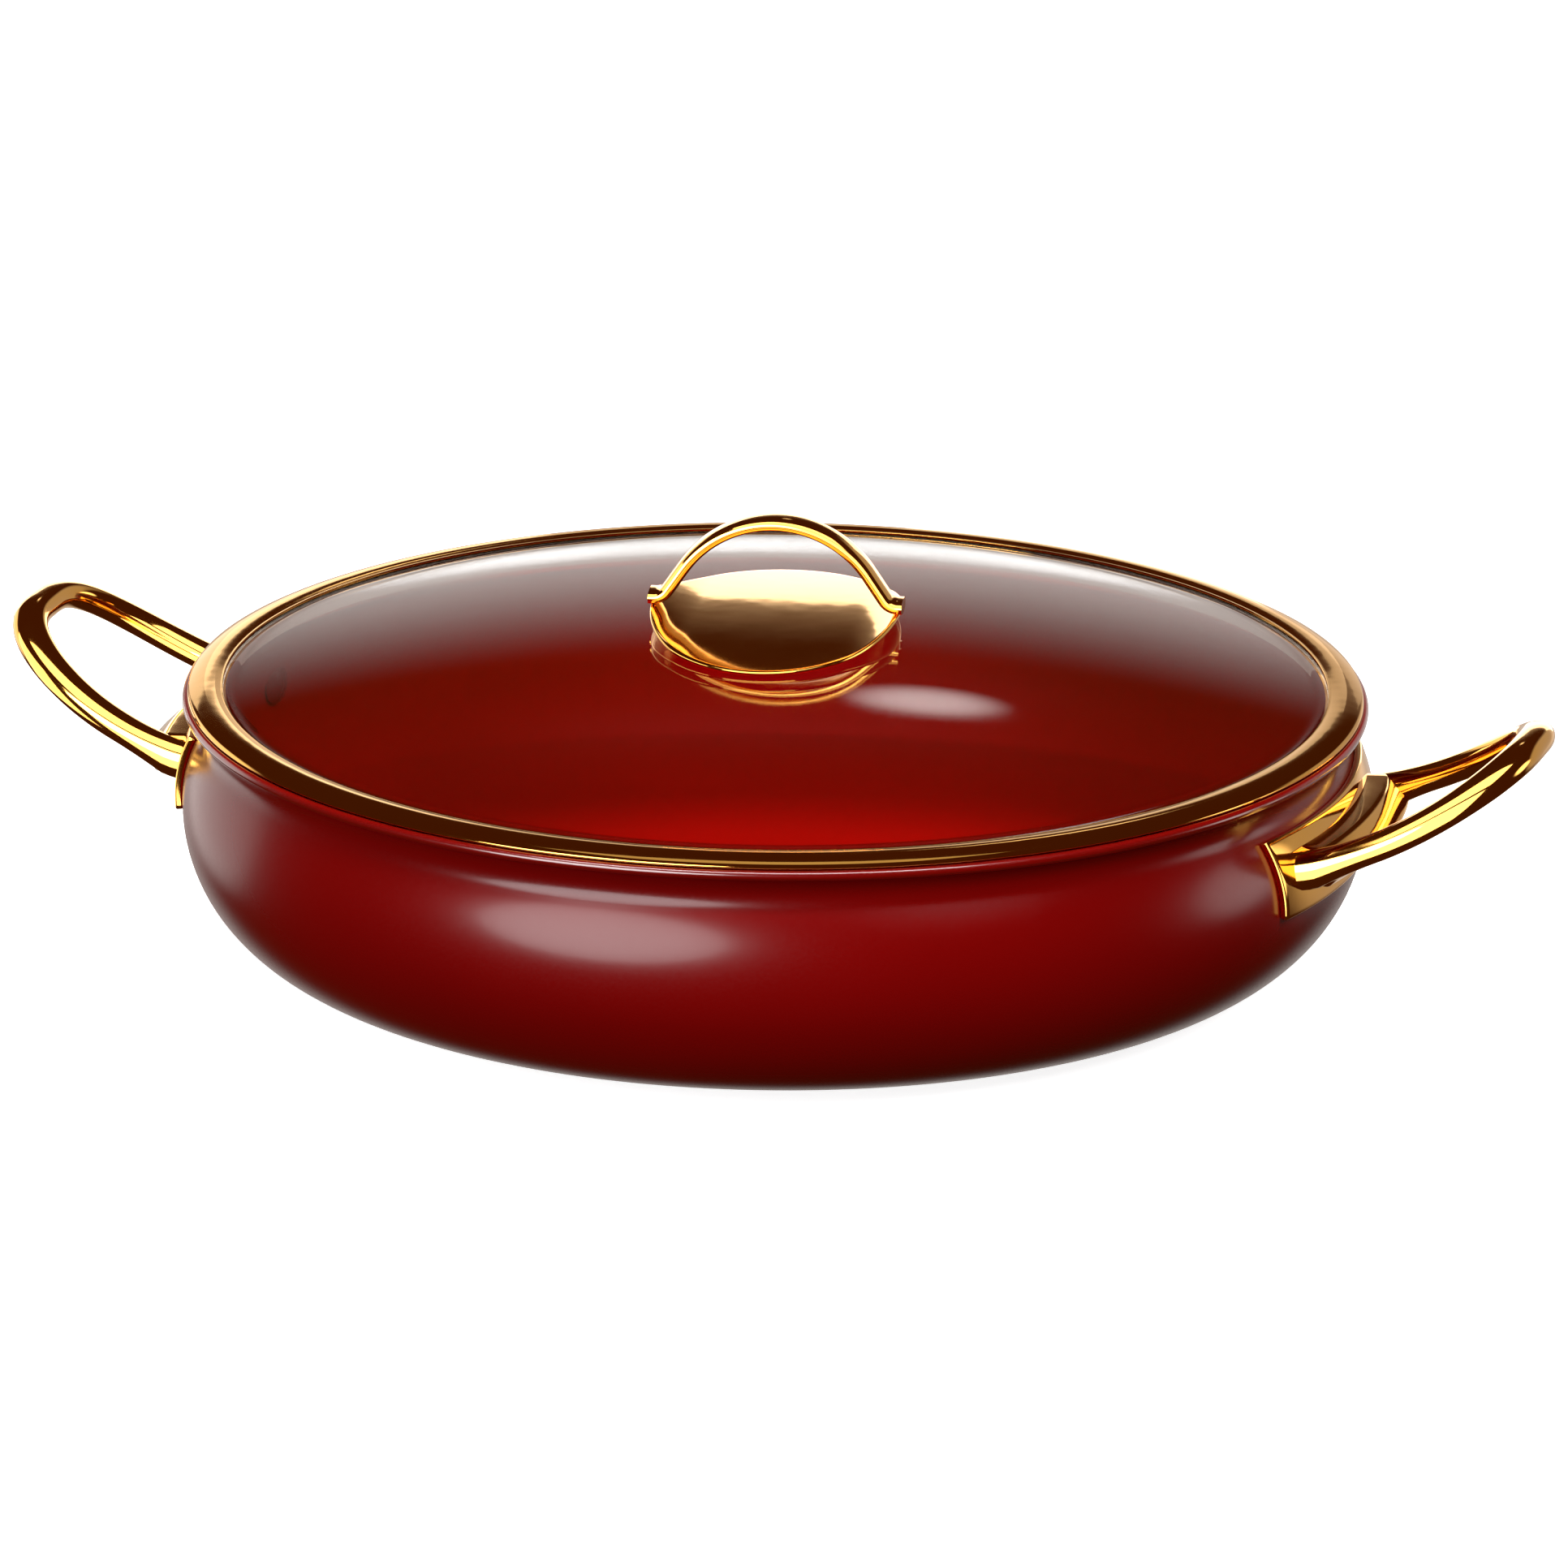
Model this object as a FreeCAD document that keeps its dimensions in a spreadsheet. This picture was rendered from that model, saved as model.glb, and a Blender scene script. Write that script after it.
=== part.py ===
import FreeCAD, Part
import math
import os
import Sketcher

# A wide, shallow casserole with two loop handles and a domed glass lid.
# Millimetres. +Z is up, the origin is the centre of the base, and the handles lie along X.

doc = FreeCAD.newDocument("Casserole")

# ---------------------------------------------------------------- driving sizes
SIZES = [
    # the pan
    ("rim_radius", 146.0),         # outer radius of the rolled rim, and of the belly
    ("rim_height", 66.5),          # height of the middle of the rolled rim
    ("bead_radius", 1.25),         # radius of the roll itself
    ("wall", 1.2),                 # sheet thickness
    ("lip_width", 6.0),            # mouth edge to the outside of the rim
    ("flare_radius", 8.0),         # inside radius of the flare from neck to rim
    ("neck_drop", 6.8),            # neck below the middle of the rim
    ("shoulder_radius", 37.0),     # belly curve above its widest point
    ("bottom_arc_radius", 135.0),  # gentle curve under the pan
    ("base_inset", 51.0),          # belly radius less the radius of the flat base
    ("base_drop", 2.0),            # heat-spreading disc below the pan's flat
    ("disc_inset", 3.0),           # disc radius less than the flat's radius
    ("disc_round", 0.8),
    ("roll_overlap", 0.05),        # flare's outside ends this far up in the roll
    # the lid
    ("lid_gap", 0.2),              # band above the top of the roll
    ("band_inset", 1.2),           # band's edge inside the rim's edge
    ("band_sheet", 0.6),
    ("band_lip", 4.0),             # mouth radius less the band's inner lip
    ("crown_radius", 10.8),        # section radius of the band's top
    ("crown_inset", 0.9),
    ("crown_drop", 8.2),
    ("skirt_gap", 0.7),            # skirt to mouth
    ("skirt_depth", 7.5),
    ("seal_thickness", 1.2),
    ("seal_foot", 4.2),            # how far the seal reaches in under the glass
    ("seal_depth", 2.4),
    ("dome_radius", 545.0),
    ("glass_thickness", 4.0),
    ("glass_hole_radius", 5.0),
    # the lid's grip
    ("lid_turn", 9.5),             # degrees from the handles' line to the grip's line
    ("plate_gap", 0.5),            # upper gasket's thickness, plate above the glass
    ("plate_sheet", 1.0),
    ("plate_half_width", 31.0),    # along the grip
    ("plate_half_length", 44.5),   # across the grip
    ("sheet_over", 1.2),           # bent sheet longer than the oval cut from it, by this factor
    ("curl_start", 20.0),          # where the plate's sides begin to rise
    ("curl_radius", 26.0),
    ("grip_height", 19.9),         # centre line, top above feet
    ("grip_slope", 56.0),          # degrees turned from the top to the straight run
    ("foot_radius", 4.0),
    ("grip_width", 9.0),
    ("grip_sheet", 3.4),
    ("grip_edge", 1.4),            # rounding along the strap
    ("foot_bite", 0.6),            # plate's tip let into the foot
    ("foot_end", 1.2),             # flat end past the foot's curl
    ("foot_inset", 0.8),           # where that end starts, in from the plate's tip
    # what clamps it
    ("stud_radius", 4.0),
    ("stud_recess", 0.4),          # end of the stud short of the glass's under face
    ("stud_clearance", 0.02),      # stud's head under the plate
    ("bore_tip", 0.4),             # stud's bore past the end of the screw
    ("gasket_clearance", 0.1),     # each gasket off the face above it
    ("gasket_bore", 0.5),          # gasket's hole larger than the stud's bore
    ("washer_bore", 0.2),          # washer's hole larger than the stud's bore
    ("gasket_radius", 10.0),
    ("gasket_thickness", 1.0),
    ("washer_radius", 8.0),
    ("washer_thickness", 1.0),
    ("screw_radius", 2.0),
    ("screw_clearance", 0.05),
    ("screw_reach", 2.6),          # thread inside the stud
    ("screw_head_radius", 4.5),
    ("screw_head_height", 2.4),
    ("screw_slot", 1.2),
    ("screw_edge_in", 0.8),        # rounded edge of the screw's head
    ("screw_edge_up", 0.9),
    ("screw_edge_radius", 1.2),
    # the side handles
    ("loop_drop", 19.7),           # loop's root below the middle of the rim
    ("loop_start", 9.6),           # centre line starts this far inside the rim radius
    ("loop_reach", 54.6),
    ("loop_spread", 66.0),         # between the two legs
    ("loop_rise", 25.8),           # tip above the root
    ("loop_bend", 1.70),           # how late the rise comes
    ("loop_squareness", 2.9),
    ("bar_width", 8.8),
    ("bar_height", 7.0),
    ("root_depth", 2.6),           # extra height of the bar where it meets the plate
    ("root_length", 14.0),         # the extra height fades over this length
    ("pad_thickness", 2.0),        # plate on the wall
    ("pad_top", 11.0),             # plate's edges below the middle of the rim
    ("pad_bottom", 30.5),
    ("pad_half_top", 44.5),
    ("pad_half_bottom", 41.0),
    ("pad_margin", 2.0),           # cutting outline past the strip's edges
    ("pad_angle", 45.0),           # degrees of wall that the strip covers before it is cut
    ("trim_bottom", 40.0),         # wall's trimming shape, below the middle of the rim
    ("trim_top", 4.0),
    ("root_bar_reach", 11.0),      # root bar out from the wall, at its foot
    ("root_bar_ridge", 5.5),       # root bar's ridge out from the wall
    ("root_bar_top", 14.5),        # root bar's heights below the middle of the rim
    ("root_bar_edge", 20.0),
    ("root_bar_foot", 24.0),
    ("root_bar_start", 1.0),       # bar starts this far out from the wall, inside the plate
    ("rivet_radius", 2.5),
    ("rivet_head_radius", 5.0),
    ("rivet_head_height", 1.8),
    ("rivet_head_edge", 0.4),      # thickness at the head's edge
    ("rivet_dome_radius", 9.5),
    ("rivet_drop", 1.0),           # rivets below the loop's root
    ("rivet_reach", 7.0),          # shank past the outside of the wall
    ("rivet_clearance", 0.05),
    ("drill_lead", 3.0),           # drill starts this far inside the wall
    ("drill_past", 0.2),           # hole past the end of the rivet
]

# ---------------------------------------------------------------- sizes that follow
DERIVED = [
    ("mouth_radius", "Sizes.rim_radius - Sizes.lip_width"),
    ("bead_x", "Sizes.rim_radius - Sizes.bead_radius"),
    ("flare_out", "Sizes.flare_radius - Sizes.wall"),
    ("flare_x", "mouth_radius + Sizes.flare_radius"),
    ("flare_z", "Sizes.rim_height - Sizes.neck_drop"),
    ("shoulder_x", "Sizes.rim_radius - Sizes.shoulder_radius"),
    ("shoulder_rise", "sqrt((Sizes.shoulder_radius + flare_out)^2 - (flare_x - shoulder_x)^2)"),
    ("shoulder_angle", "asin(shoulder_rise / (Sizes.shoulder_radius + flare_out))"),
    ("belly_z", "flare_z - shoulder_rise"),
    ("base_radius", "Sizes.rim_radius - Sizes.base_inset"),
    ("bottom_z", "Sizes.base_drop + Sizes.bottom_arc_radius"),
    ("corner_radius", "(Sizes.bottom_arc_radius^2 - Sizes.base_inset^2 - (bottom_z - belly_z)^2)"
                      " / (2 * (Sizes.bottom_arc_radius - Sizes.base_inset))"),
    ("corner_x", "Sizes.rim_radius - corner_radius"),
    ("join_x", "corner_x + corner_radius * (corner_x - base_radius)"
               " / (Sizes.bottom_arc_radius - corner_radius)"),
    ("join_z", "belly_z - corner_radius * (bottom_z - belly_z)"
               " / (Sizes.bottom_arc_radius - corner_radius)"),
    ("join_inner_x", "corner_x + (join_x - corner_x) * (1 - Sizes.wall / corner_radius)"),
    ("join_inner_z", "belly_z + (join_z - belly_z) * (1 - Sizes.wall / corner_radius)"),
    # the line that leads from the flare's inside up on to the roll touches both curves
    ("lead_span", "sqrt((flare_x - bead_x)^2 + Sizes.neck_drop^2)"),
    ("lead_angle", "180 deg - atan2(Sizes.neck_drop; flare_x - bead_x)"
                   " + acos((Sizes.flare_radius - Sizes.bead_radius) / lead_span)"),
    # the flare's outside ends where it meets the roll
    ("under_z", "Sizes.rim_height - Sizes.bead_radius + Sizes.roll_overlap"),
    ("under_x", "flare_x - sqrt(flare_out^2 - (under_z - flare_z)^2)"),
    # lid
    ("seat_z", "Sizes.rim_height + Sizes.bead_radius + Sizes.lid_gap"),
    ("band_radius", "Sizes.rim_radius - Sizes.band_inset"),
    ("skirt_radius", "mouth_radius - Sizes.skirt_gap"),
    ("skirt_inner", "skirt_radius - Sizes.band_sheet"),
    ("lip_radius", "mouth_radius - Sizes.band_lip"),
    ("crown_x", "mouth_radius - Sizes.crown_inset"),
    ("crown_z", "seat_z - Sizes.crown_drop"),
    ("crown_inner", "Sizes.crown_radius - Sizes.band_sheet"),
    ("lip_z", "crown_z + sqrt(crown_inner^2 - (lip_radius - crown_x)^2)"),
    ("dome_z", "lip_z - sqrt(Sizes.dome_radius^2 - lip_radius^2)"),
    ("dome_inner", "Sizes.dome_radius - Sizes.glass_thickness"),
    ("apex_z", "dome_z + Sizes.dome_radius"),
    ("glass_radius", "skirt_inner - Sizes.seal_thickness"),
    ("seal_radius", "skirt_inner - Sizes.seal_foot"),
    ("seal_top", "dome_z + sqrt(Sizes.dome_radius^2 - glass_radius^2)"),
    ("seal_z", "seal_top - Sizes.glass_thickness - Sizes.seal_depth"),
    # lid grip
    ("plate_z", "apex_z + Sizes.plate_gap"),
    ("under_glass_z", "apex_z - Sizes.glass_thickness"),
    ("curl_angle", "asin((Sizes.plate_half_width - Sizes.curl_start) / Sizes.curl_radius)"),
    ("tip_z", "plate_z + Sizes.plate_sheet + (Sizes.curl_radius - Sizes.plate_sheet)"
              " * (1 - cos(curl_angle))"),
    ("foot_z", "tip_z - Sizes.foot_bite + Sizes.grip_sheet / 2"),
    ("grip_z", "foot_z + Sizes.grip_height"),
    ("grip_angle", "Sizes.grip_slope * 1 deg"),
    ("foot_x", "Sizes.plate_half_width - Sizes.foot_inset"),
    # the arch's radius lets its straight runs end at the feet
    ("grip_radius", "(foot_x - Sizes.grip_height / tan(grip_angle)) / tan(grip_angle / 2)"
                    " - Sizes.foot_radius"),
    ("stud_z", "under_glass_z + Sizes.stud_recess"),
    ("gasket_z", "under_glass_z - Sizes.gasket_clearance"),
    ("washer_z", "gasket_z - Sizes.gasket_thickness"),
    ("head_z", "washer_z - Sizes.washer_thickness"),
]

sheet = doc.addObject("Spreadsheet::Sheet", "Sizes")
for row, (alias, value) in enumerate(SIZES, start=1):
    sheet.set("A%d" % row, alias)
    sheet.set("B%d" % row, str(value))
    sheet.setAlias("B%d" % row, alias)
follow = doc.addObject("Spreadsheet::Sheet", "Follow")
for row, (alias, formula) in enumerate(DERIVED, start=1):
    follow.setAlias("B%d" % row, alias)
for row, (alias, formula) in enumerate(DERIVED, start=1):
    follow.set("A%d" % row, alias)
    follow.set("B%d" % row, "=" + formula)
doc.recompute()


def value(text):
    """The number that an expression on the two sheets gives."""
    found = sheet.evalExpression(text)
    return float(found.Value) if hasattr(found, "Value") else float(found)


sizes = {alias: value("Sizes." + alias) for alias, _ in SIZES}


# ---------------------------------------------------------------- ways of making
def origin_plane(body, role):
    return next(f for f in body.Origin.OriginFeatures if f.Role == role)


def arc_geometry(start, end, radius, turn):
    """A short arc from start to end; turn is 1 for anticlockwise and -1 for clockwise."""
    chord = end - start
    half = chord.Length / 2
    side = FreeCAD.Vector(-chord.y, chord.x, 0).normalize() * turn
    centre = (start + end) / 2 + side * math.sqrt(max(radius ** 2 - half ** 2, 0))
    middle = centre - side * radius
    return Part.Arc(start, middle, end)


def outline(body, name, corners, role="XZ_Plane"):
    """A closed sketch. Each corner is (x, y) or (x, y, radius, turn), as expressions.

    Every coordinate and radius becomes a constraint bound to its expression.
    """
    sketch = body.newObject("Sketcher::SketchObject", name)
    sketch.AttachmentSupport = [(origin_plane(body, role), "")]
    sketch.MapMode = "FlatFace"
    points = [FreeCAD.Vector(value(c[0]), value(c[1]), 0) for c in corners]
    for here, corner in enumerate(corners):
        start, end = points[here], points[(here + 1) % len(points)]
        if len(corner) == 2:
            sketch.addGeometry(Part.LineSegment(start, end))
        else:
            sketch.addGeometry(arc_geometry(start, end, value(corner[2]), corner[3]))

    def start_of(edge):
        clockwise = len(corners[edge]) == 4 and corners[edge][3] < 0
        return 2 if clockwise else 1

    for edge, corner in enumerate(corners):
        before = (edge - 1) % len(corners)
        sketch.addConstraint(Sketcher.Constraint(
            "Coincident", before, 3 - start_of(before), edge, start_of(edge)))
        for kind, axis, text in (("DistanceX", -2, corner[0]), ("DistanceY", -1, corner[1])):
            if text == "0":
                sketch.addConstraint(Sketcher.Constraint(
                    "PointOnObject", edge, start_of(edge), axis))
                continue
            index = sketch.addConstraint(Sketcher.Constraint(
                kind, -1, 1, edge, start_of(edge), value(text)))
            sketch.setExpression("Constraints[%d]" % index, text)
        if len(corner) == 4:
            index = sketch.addConstraint(Sketcher.Constraint("Radius", edge, value(corner[2])))
            sketch.setExpression("Constraints[%d]" % index, corner[2])
    return sketch


def new_body(label):
    body = doc.addObject("PartDesign::Body", label)
    body.Label = label
    return body


FULL_TURN = "360"


def revolved(label, corners, angle=FULL_TURN):
    """A body turned about Z from an outline on the XZ plane, centred on that plane."""
    body = new_body(label)
    turn(body, label + "_turned", corners, angle)
    return body


def turn(body, name, corners, angle):
    """The outline turned about Z inside a body."""
    sketch = outline(body, name + "_outline", corners)
    feature = body.newObject("PartDesign::Revolution", name)
    feature.Profile = sketch
    feature.ReferenceAxis = (sketch, ["V_Axis"])
    feature.Midplane = True
    feature.setExpression("Angle", angle)
    sketch.Visibility = False
    return feature


def padded(label, corners, length, role):
    """A body pushed out both ways from an outline on one of its origin planes."""
    body = new_body(label)
    sketch = outline(body, label + "_outline", corners, role)
    pad = body.newObject("PartDesign::Pad", label + "_pad")
    pad.Profile = sketch
    pad.SideType = "Symmetric"
    pad.setExpression("Length", length)
    return body


def cut(label, base, tool):
    result = doc.addObject("Part::Cut", label)
    result.Base = base
    result.Tool = tool
    result.Label = label
    return result


def common(label, base, tool):
    result = doc.addObject("Part::Common", label)
    result.Base = base
    result.Tool = tool
    result.Label = label
    return result


def mirrored(label, source):
    """The same piece on the other side of the YZ plane."""
    result = doc.addObject("Part::Mirroring", label)
    result.Source = source
    result.Normal = (1, 0, 0)
    result.Label = label
    return result


F = "Follow."

# ---------------------------------------------------------------- rivets, and the holes for them
# They run radially through the wall, the plate and into the loop's two legs.
RIVET_Z = "Sizes.rim_height - Sizes.loop_drop - Sizes.rivet_drop"


def rivet_pair(label, corners):
    """Two of a turned shape on radial lines at the legs of the right handle."""
    body = new_body(label)
    body.AllowCompound = True
    sketch = outline(body, label + "_outline", corners, "XY_Plane")
    sketch.setExpression("AttachmentOffset.Base.z", RIVET_Z)
    sketch.setExpression("AttachmentOffset.Rotation.Angle",
                         "asin(Sizes.loop_spread / 2 / Sizes.rim_radius)")
    feature = body.newObject("PartDesign::Revolution", label + "_turned")
    feature.Profile = sketch
    feature.ReferenceAxis = (sketch, ["H_Axis"])
    feature.setExpression("Angle", FULL_TURN)
    pair = body.newObject("PartDesign::Mirrored", label + "_pair")
    pair.Originals = [feature]
    pair.MirrorPlane = (origin_plane(body, "XZ_Plane"), [""])
    body.Tip = pair
    return body


INNER_X = ("(Follow.shoulder_x + sqrt((Sizes.shoulder_radius - Sizes.wall)^2"
           " - (" + RIVET_Z + " - Follow.belly_z)^2))")
RIVET_END = INNER_X + " + Sizes.wall + Sizes.rivet_reach"
DRILL_START = INNER_X + " - Sizes.drill_lead"
DRILL_END = RIVET_END + " + Sizes.drill_past"
DRILL_RADIUS = "Sizes.rivet_radius + Sizes.rivet_clearance"
rivets_raw = rivet_pair("rivet_blank", [
    (INNER_X + " - Sizes.rivet_head_height", "0"),
    (RIVET_END, "0"),
    (RIVET_END, "Sizes.rivet_radius"),
    (INNER_X, "Sizes.rivet_radius"),
    (INNER_X, "Sizes.rivet_head_radius"),
    (INNER_X + " - Sizes.rivet_head_edge", "Sizes.rivet_head_radius",
     "Sizes.rivet_dome_radius", 1),
])
drill = rivet_pair("rivet_drill", [
    (DRILL_START, "0"),
    (DRILL_END, "0"),
    (DRILL_END, DRILL_RADIUS),
    (DRILL_START, DRILL_RADIUS),
])
drill_left = mirrored("rivet_drill_left", drill)

# ---------------------------------------------------------------- pan
# Outside: flat, bottom arc, corner arc, shoulder arc, flare. Then the roll. Inside: the same
# curves moved in by the sheet's thickness.
INNER_FLOOR = "Sizes.base_drop + Sizes.wall"
shell = revolved("pot_shell", [
    ("0", "Sizes.base_drop"),
    (F + "base_radius", "Sizes.base_drop", "Sizes.bottom_arc_radius", 1),
    (F + "join_x", F + "join_z", F + "corner_radius", 1),
    ("Sizes.rim_radius", F + "belly_z", "Sizes.shoulder_radius", 1),
    (F + "shoulder_x + Sizes.shoulder_radius * cos(Follow.shoulder_angle)",
     F + "belly_z + Sizes.shoulder_radius * sin(Follow.shoulder_angle)", F + "flare_out", -1),
    (F + "under_x", F + "under_z"),
    (F + "bead_x", "Sizes.rim_height - Sizes.bead_radius", "Sizes.bead_radius", 1),
    ("Sizes.rim_radius", "Sizes.rim_height", "Sizes.bead_radius", 1),
    (F + "bead_x", "Sizes.rim_height + Sizes.bead_radius", "Sizes.bead_radius", 1),
    (F + "bead_x + Sizes.bead_radius * cos(Follow.lead_angle)",
     "Sizes.rim_height + Sizes.bead_radius * sin(Follow.lead_angle)"),
    (F + "flare_x + Sizes.flare_radius * cos(Follow.lead_angle)",
     F + "flare_z + Sizes.flare_radius * sin(Follow.lead_angle)", "Sizes.flare_radius", 1),
    (F + "shoulder_x + (Sizes.shoulder_radius - Sizes.wall) * cos(Follow.shoulder_angle)",
     F + "belly_z + (Sizes.shoulder_radius - Sizes.wall) * sin(Follow.shoulder_angle)",
     "Sizes.shoulder_radius - Sizes.wall", -1),
    ("Sizes.rim_radius - Sizes.wall", F + "belly_z", F + "corner_radius - Sizes.wall", -1),
    (F + "join_inner_x", F + "join_inner_z", "Sizes.bottom_arc_radius - Sizes.wall", -1),
    (F + "base_radius", INNER_FLOOR),
    ("0", INNER_FLOOR),
])
shell_right = cut("pot_shell_drilled_right", shell, drill)
pot_body = cut("pot_body", shell_right, drill_left)

# A plain disc that spreads the heat and is what the pan stands on.
base_disc = revolved("base_disc", [
    ("0", "0"),
    (F + "base_radius - Sizes.disc_inset - Sizes.disc_round", "0", "Sizes.disc_round", 1),
    (F + "base_radius - Sizes.disc_inset", "Sizes.disc_round"),
    (F + "base_radius - Sizes.disc_inset", "Sizes.base_drop"),
    ("0", "Sizes.base_drop"),
])

# ---------------------------------------------------------------- side handles
# Seen from above the loop is a superellipse, and it rises late, towards its tip.
LOOP_STEPS = 28
RING_POINTS = 16
FIRST_TURN = 0.07       # the ends are left off: the trimming shape cuts beyond them
TANGENT_STEP = 0.01


def loop_centre(turned):
    """A place on the loop's centre line: 0 and pi are its two roots, half pi its tip."""
    power = 2 / sizes["loop_squareness"]
    out = abs(math.sin(turned)) ** power
    across = math.copysign(abs(math.cos(turned)) ** power, math.cos(turned))
    return FreeCAD.Vector(
        sizes["rim_radius"] - sizes["loop_start"] + sizes["loop_reach"] * out,
        -sizes["loop_spread"] / 2 * across,
        sizes["rim_height"] - sizes["loop_drop"] + sizes["loop_rise"] * out ** sizes["loop_bend"])


def loop_section(turned):
    """A closed oval ring of the bar, square to its centre line and deeper near the plate."""
    centre = loop_centre(turned)
    ahead = loop_centre(turned + TANGENT_STEP)
    along = (ahead - loop_centre(turned - TANGENT_STEP)).normalize()
    up = FreeCAD.Vector(0, 0, 1)
    up = (up - along * up.dot(along)).normalize()
    side = along.cross(up)
    fade = (centre.x - sizes["rim_radius"]) / sizes["root_length"]
    deeper = sizes["root_depth"] * max(0, 1 - max(fade, 0)) ** 2
    high = (sizes["bar_height"] + deeper) / 2
    middle = centre - up * deeper / 2
    ring = []
    for point in range(RING_POINTS):
        angle = 2 * math.pi * point / RING_POINTS
        ring.append(middle + side * (sizes["bar_width"] / 2 * math.cos(angle))
                    + up * (high * math.sin(angle)))
    curve = Part.BSplineCurve()
    curve.interpolate(Points=ring, PeriodicFlag=True)
    return Part.Wire([curve.toShape()])


sections = [loop_section(FIRST_TURN + (math.pi - 2 * FIRST_TURN) * step / LOOP_STEPS)
            for step in range(LOOP_STEPS + 1)]
loop_blank = doc.addObject("Part::Feature", "loop_blank")
loop_blank.Shape = Part.makeLoft(sections, True)

# Everything inside the plate's outer face, to trim the loop's two ends to it.
PAD_OUT = "(Sizes.shoulder_radius + Sizes.pad_thickness)"
PAD_LOW = "Sizes.rim_height - Sizes.pad_bottom"
PAD_HIGH = "Sizes.rim_height - Sizes.pad_top"


def arc_x(radius, height):
    """Distance from the axis of a circle about the shoulder's centre, at a height."""
    return "Follow.shoulder_x + sqrt(%s^2 - (%s - Follow.belly_z)^2)" % (radius, height)


def lower_x(radius, height):
    """Distance from the axis of a circle about the corner's centre, at a height."""
    return "Follow.corner_x + sqrt(%s^2 - (%s - Follow.belly_z)^2)" % (radius, height)


CORNER_OUT = "(Follow.corner_radius + Sizes.pad_thickness)"
TRIM_LOW = "Sizes.rim_height - Sizes.trim_bottom"
TRIM_HIGH = "Sizes.rim_height - Sizes.trim_top"
core = revolved("wall_core", [
    ("0", TRIM_LOW),
    (lower_x(CORNER_OUT, TRIM_LOW), TRIM_LOW, CORNER_OUT, 1),
    ("Sizes.rim_radius + Sizes.pad_thickness", F + "belly_z", PAD_OUT, 1),
    (arc_x(PAD_OUT, TRIM_HIGH), TRIM_HIGH),
    ("0", TRIM_HIGH),
])
loop_trimmed = cut("loop_trimmed", loop_blank, core)
loop_right = cut("handle_loop_right", loop_trimmed, drill)
loop_left = mirrored("handle_loop_left", loop_right)

# The plate is a strip of revolution on the wall, cut to its outline, with the root bar on it.
pad_strip = revolved("pad_strip", [
    (lower_x("Follow.corner_radius", PAD_LOW), PAD_LOW),
    (lower_x(CORNER_OUT, PAD_LOW), PAD_LOW, CORNER_OUT, 1),
    ("Sizes.rim_radius + Sizes.pad_thickness", F + "belly_z", PAD_OUT, 1),
    (arc_x(PAD_OUT, PAD_HIGH), PAD_HIGH),
    (arc_x("Sizes.shoulder_radius", PAD_HIGH), PAD_HIGH, "Sizes.shoulder_radius", -1),
    ("Sizes.rim_radius", F + "belly_z", F + "corner_radius", -1),
], "Sizes.pad_angle")
PAST_BOTH_SIDES = "Sizes.rim_radius * 3"
pad_outline = padded("pad_outline", [
    ("-Sizes.pad_half_bottom", PAD_LOW + " - Sizes.pad_margin"),
    ("Sizes.pad_half_bottom", PAD_LOW + " - Sizes.pad_margin"),
    ("Sizes.pad_half_top", PAD_HIGH + " + Sizes.pad_margin"),
    ("-Sizes.pad_half_top", PAD_HIGH + " + Sizes.pad_margin"),
], PAST_BOTH_SIDES, "YZ_Plane")
pad_cut = common("pad_cut", pad_strip, pad_outline)
BAR_TOP = "Sizes.rim_height - Sizes.root_bar_top"
BAR_EDGE = "Sizes.rim_height - Sizes.root_bar_edge"
BAR_FOOT = "Sizes.rim_height - Sizes.root_bar_foot"
BAR_IN = "(Sizes.shoulder_radius + Sizes.root_bar_start)"
root_bar = revolved("root_bar", [
    (arc_x(BAR_IN, BAR_FOOT), BAR_FOOT),
    (arc_x(PAD_OUT, BAR_FOOT) + " + Sizes.root_bar_ridge", BAR_FOOT),
    ("Sizes.rim_radius + Sizes.root_bar_reach", BAR_EDGE),
    (arc_x(PAD_OUT, BAR_TOP) + " + Sizes.root_bar_ridge", BAR_TOP),
    (arc_x(BAR_IN, BAR_TOP), BAR_TOP),
], "2 * asin(Sizes.loop_spread / 2 / (Sizes.rim_radius + Sizes.root_bar_ridge))")
pad_whole = doc.addObject("Part::Fuse", "pad_whole")
pad_whole.Base = pad_cut
pad_whole.Tool = root_bar
pad_beside_loop = cut("pad_beside_loop", pad_whole, loop_trimmed)
plate_right = cut("handle_plate_right", pad_beside_loop, drill)
plate_left = mirrored("handle_plate_left", plate_right)

rivets_right = cut("handle_rivets_right", rivets_raw, pot_body)
rivets_left = mirrored("handle_rivets_left", rivets_right)

# ---------------------------------------------------------------- lid: glass, band and seal
def dome_height(radius, at):
    """Height of a sphere about the dome's centre, at a distance from the axis."""
    return "Follow.dome_z + sqrt(%s^2 - (%s)^2)" % (radius, at)


lid_glass = revolved("lid_glass", [
    ("Sizes.glass_hole_radius", dome_height("Follow.dome_inner", "Sizes.glass_hole_radius"),
     F + "dome_inner", -1),
    (F + "glass_radius", dome_height("Follow.dome_inner", "Follow.glass_radius")),
    (F + "glass_radius", F + "seal_top", "Sizes.dome_radius", 1),
    ("Sizes.glass_hole_radius", dome_height("Sizes.dome_radius", "Sizes.glass_hole_radius")),
])

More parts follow.
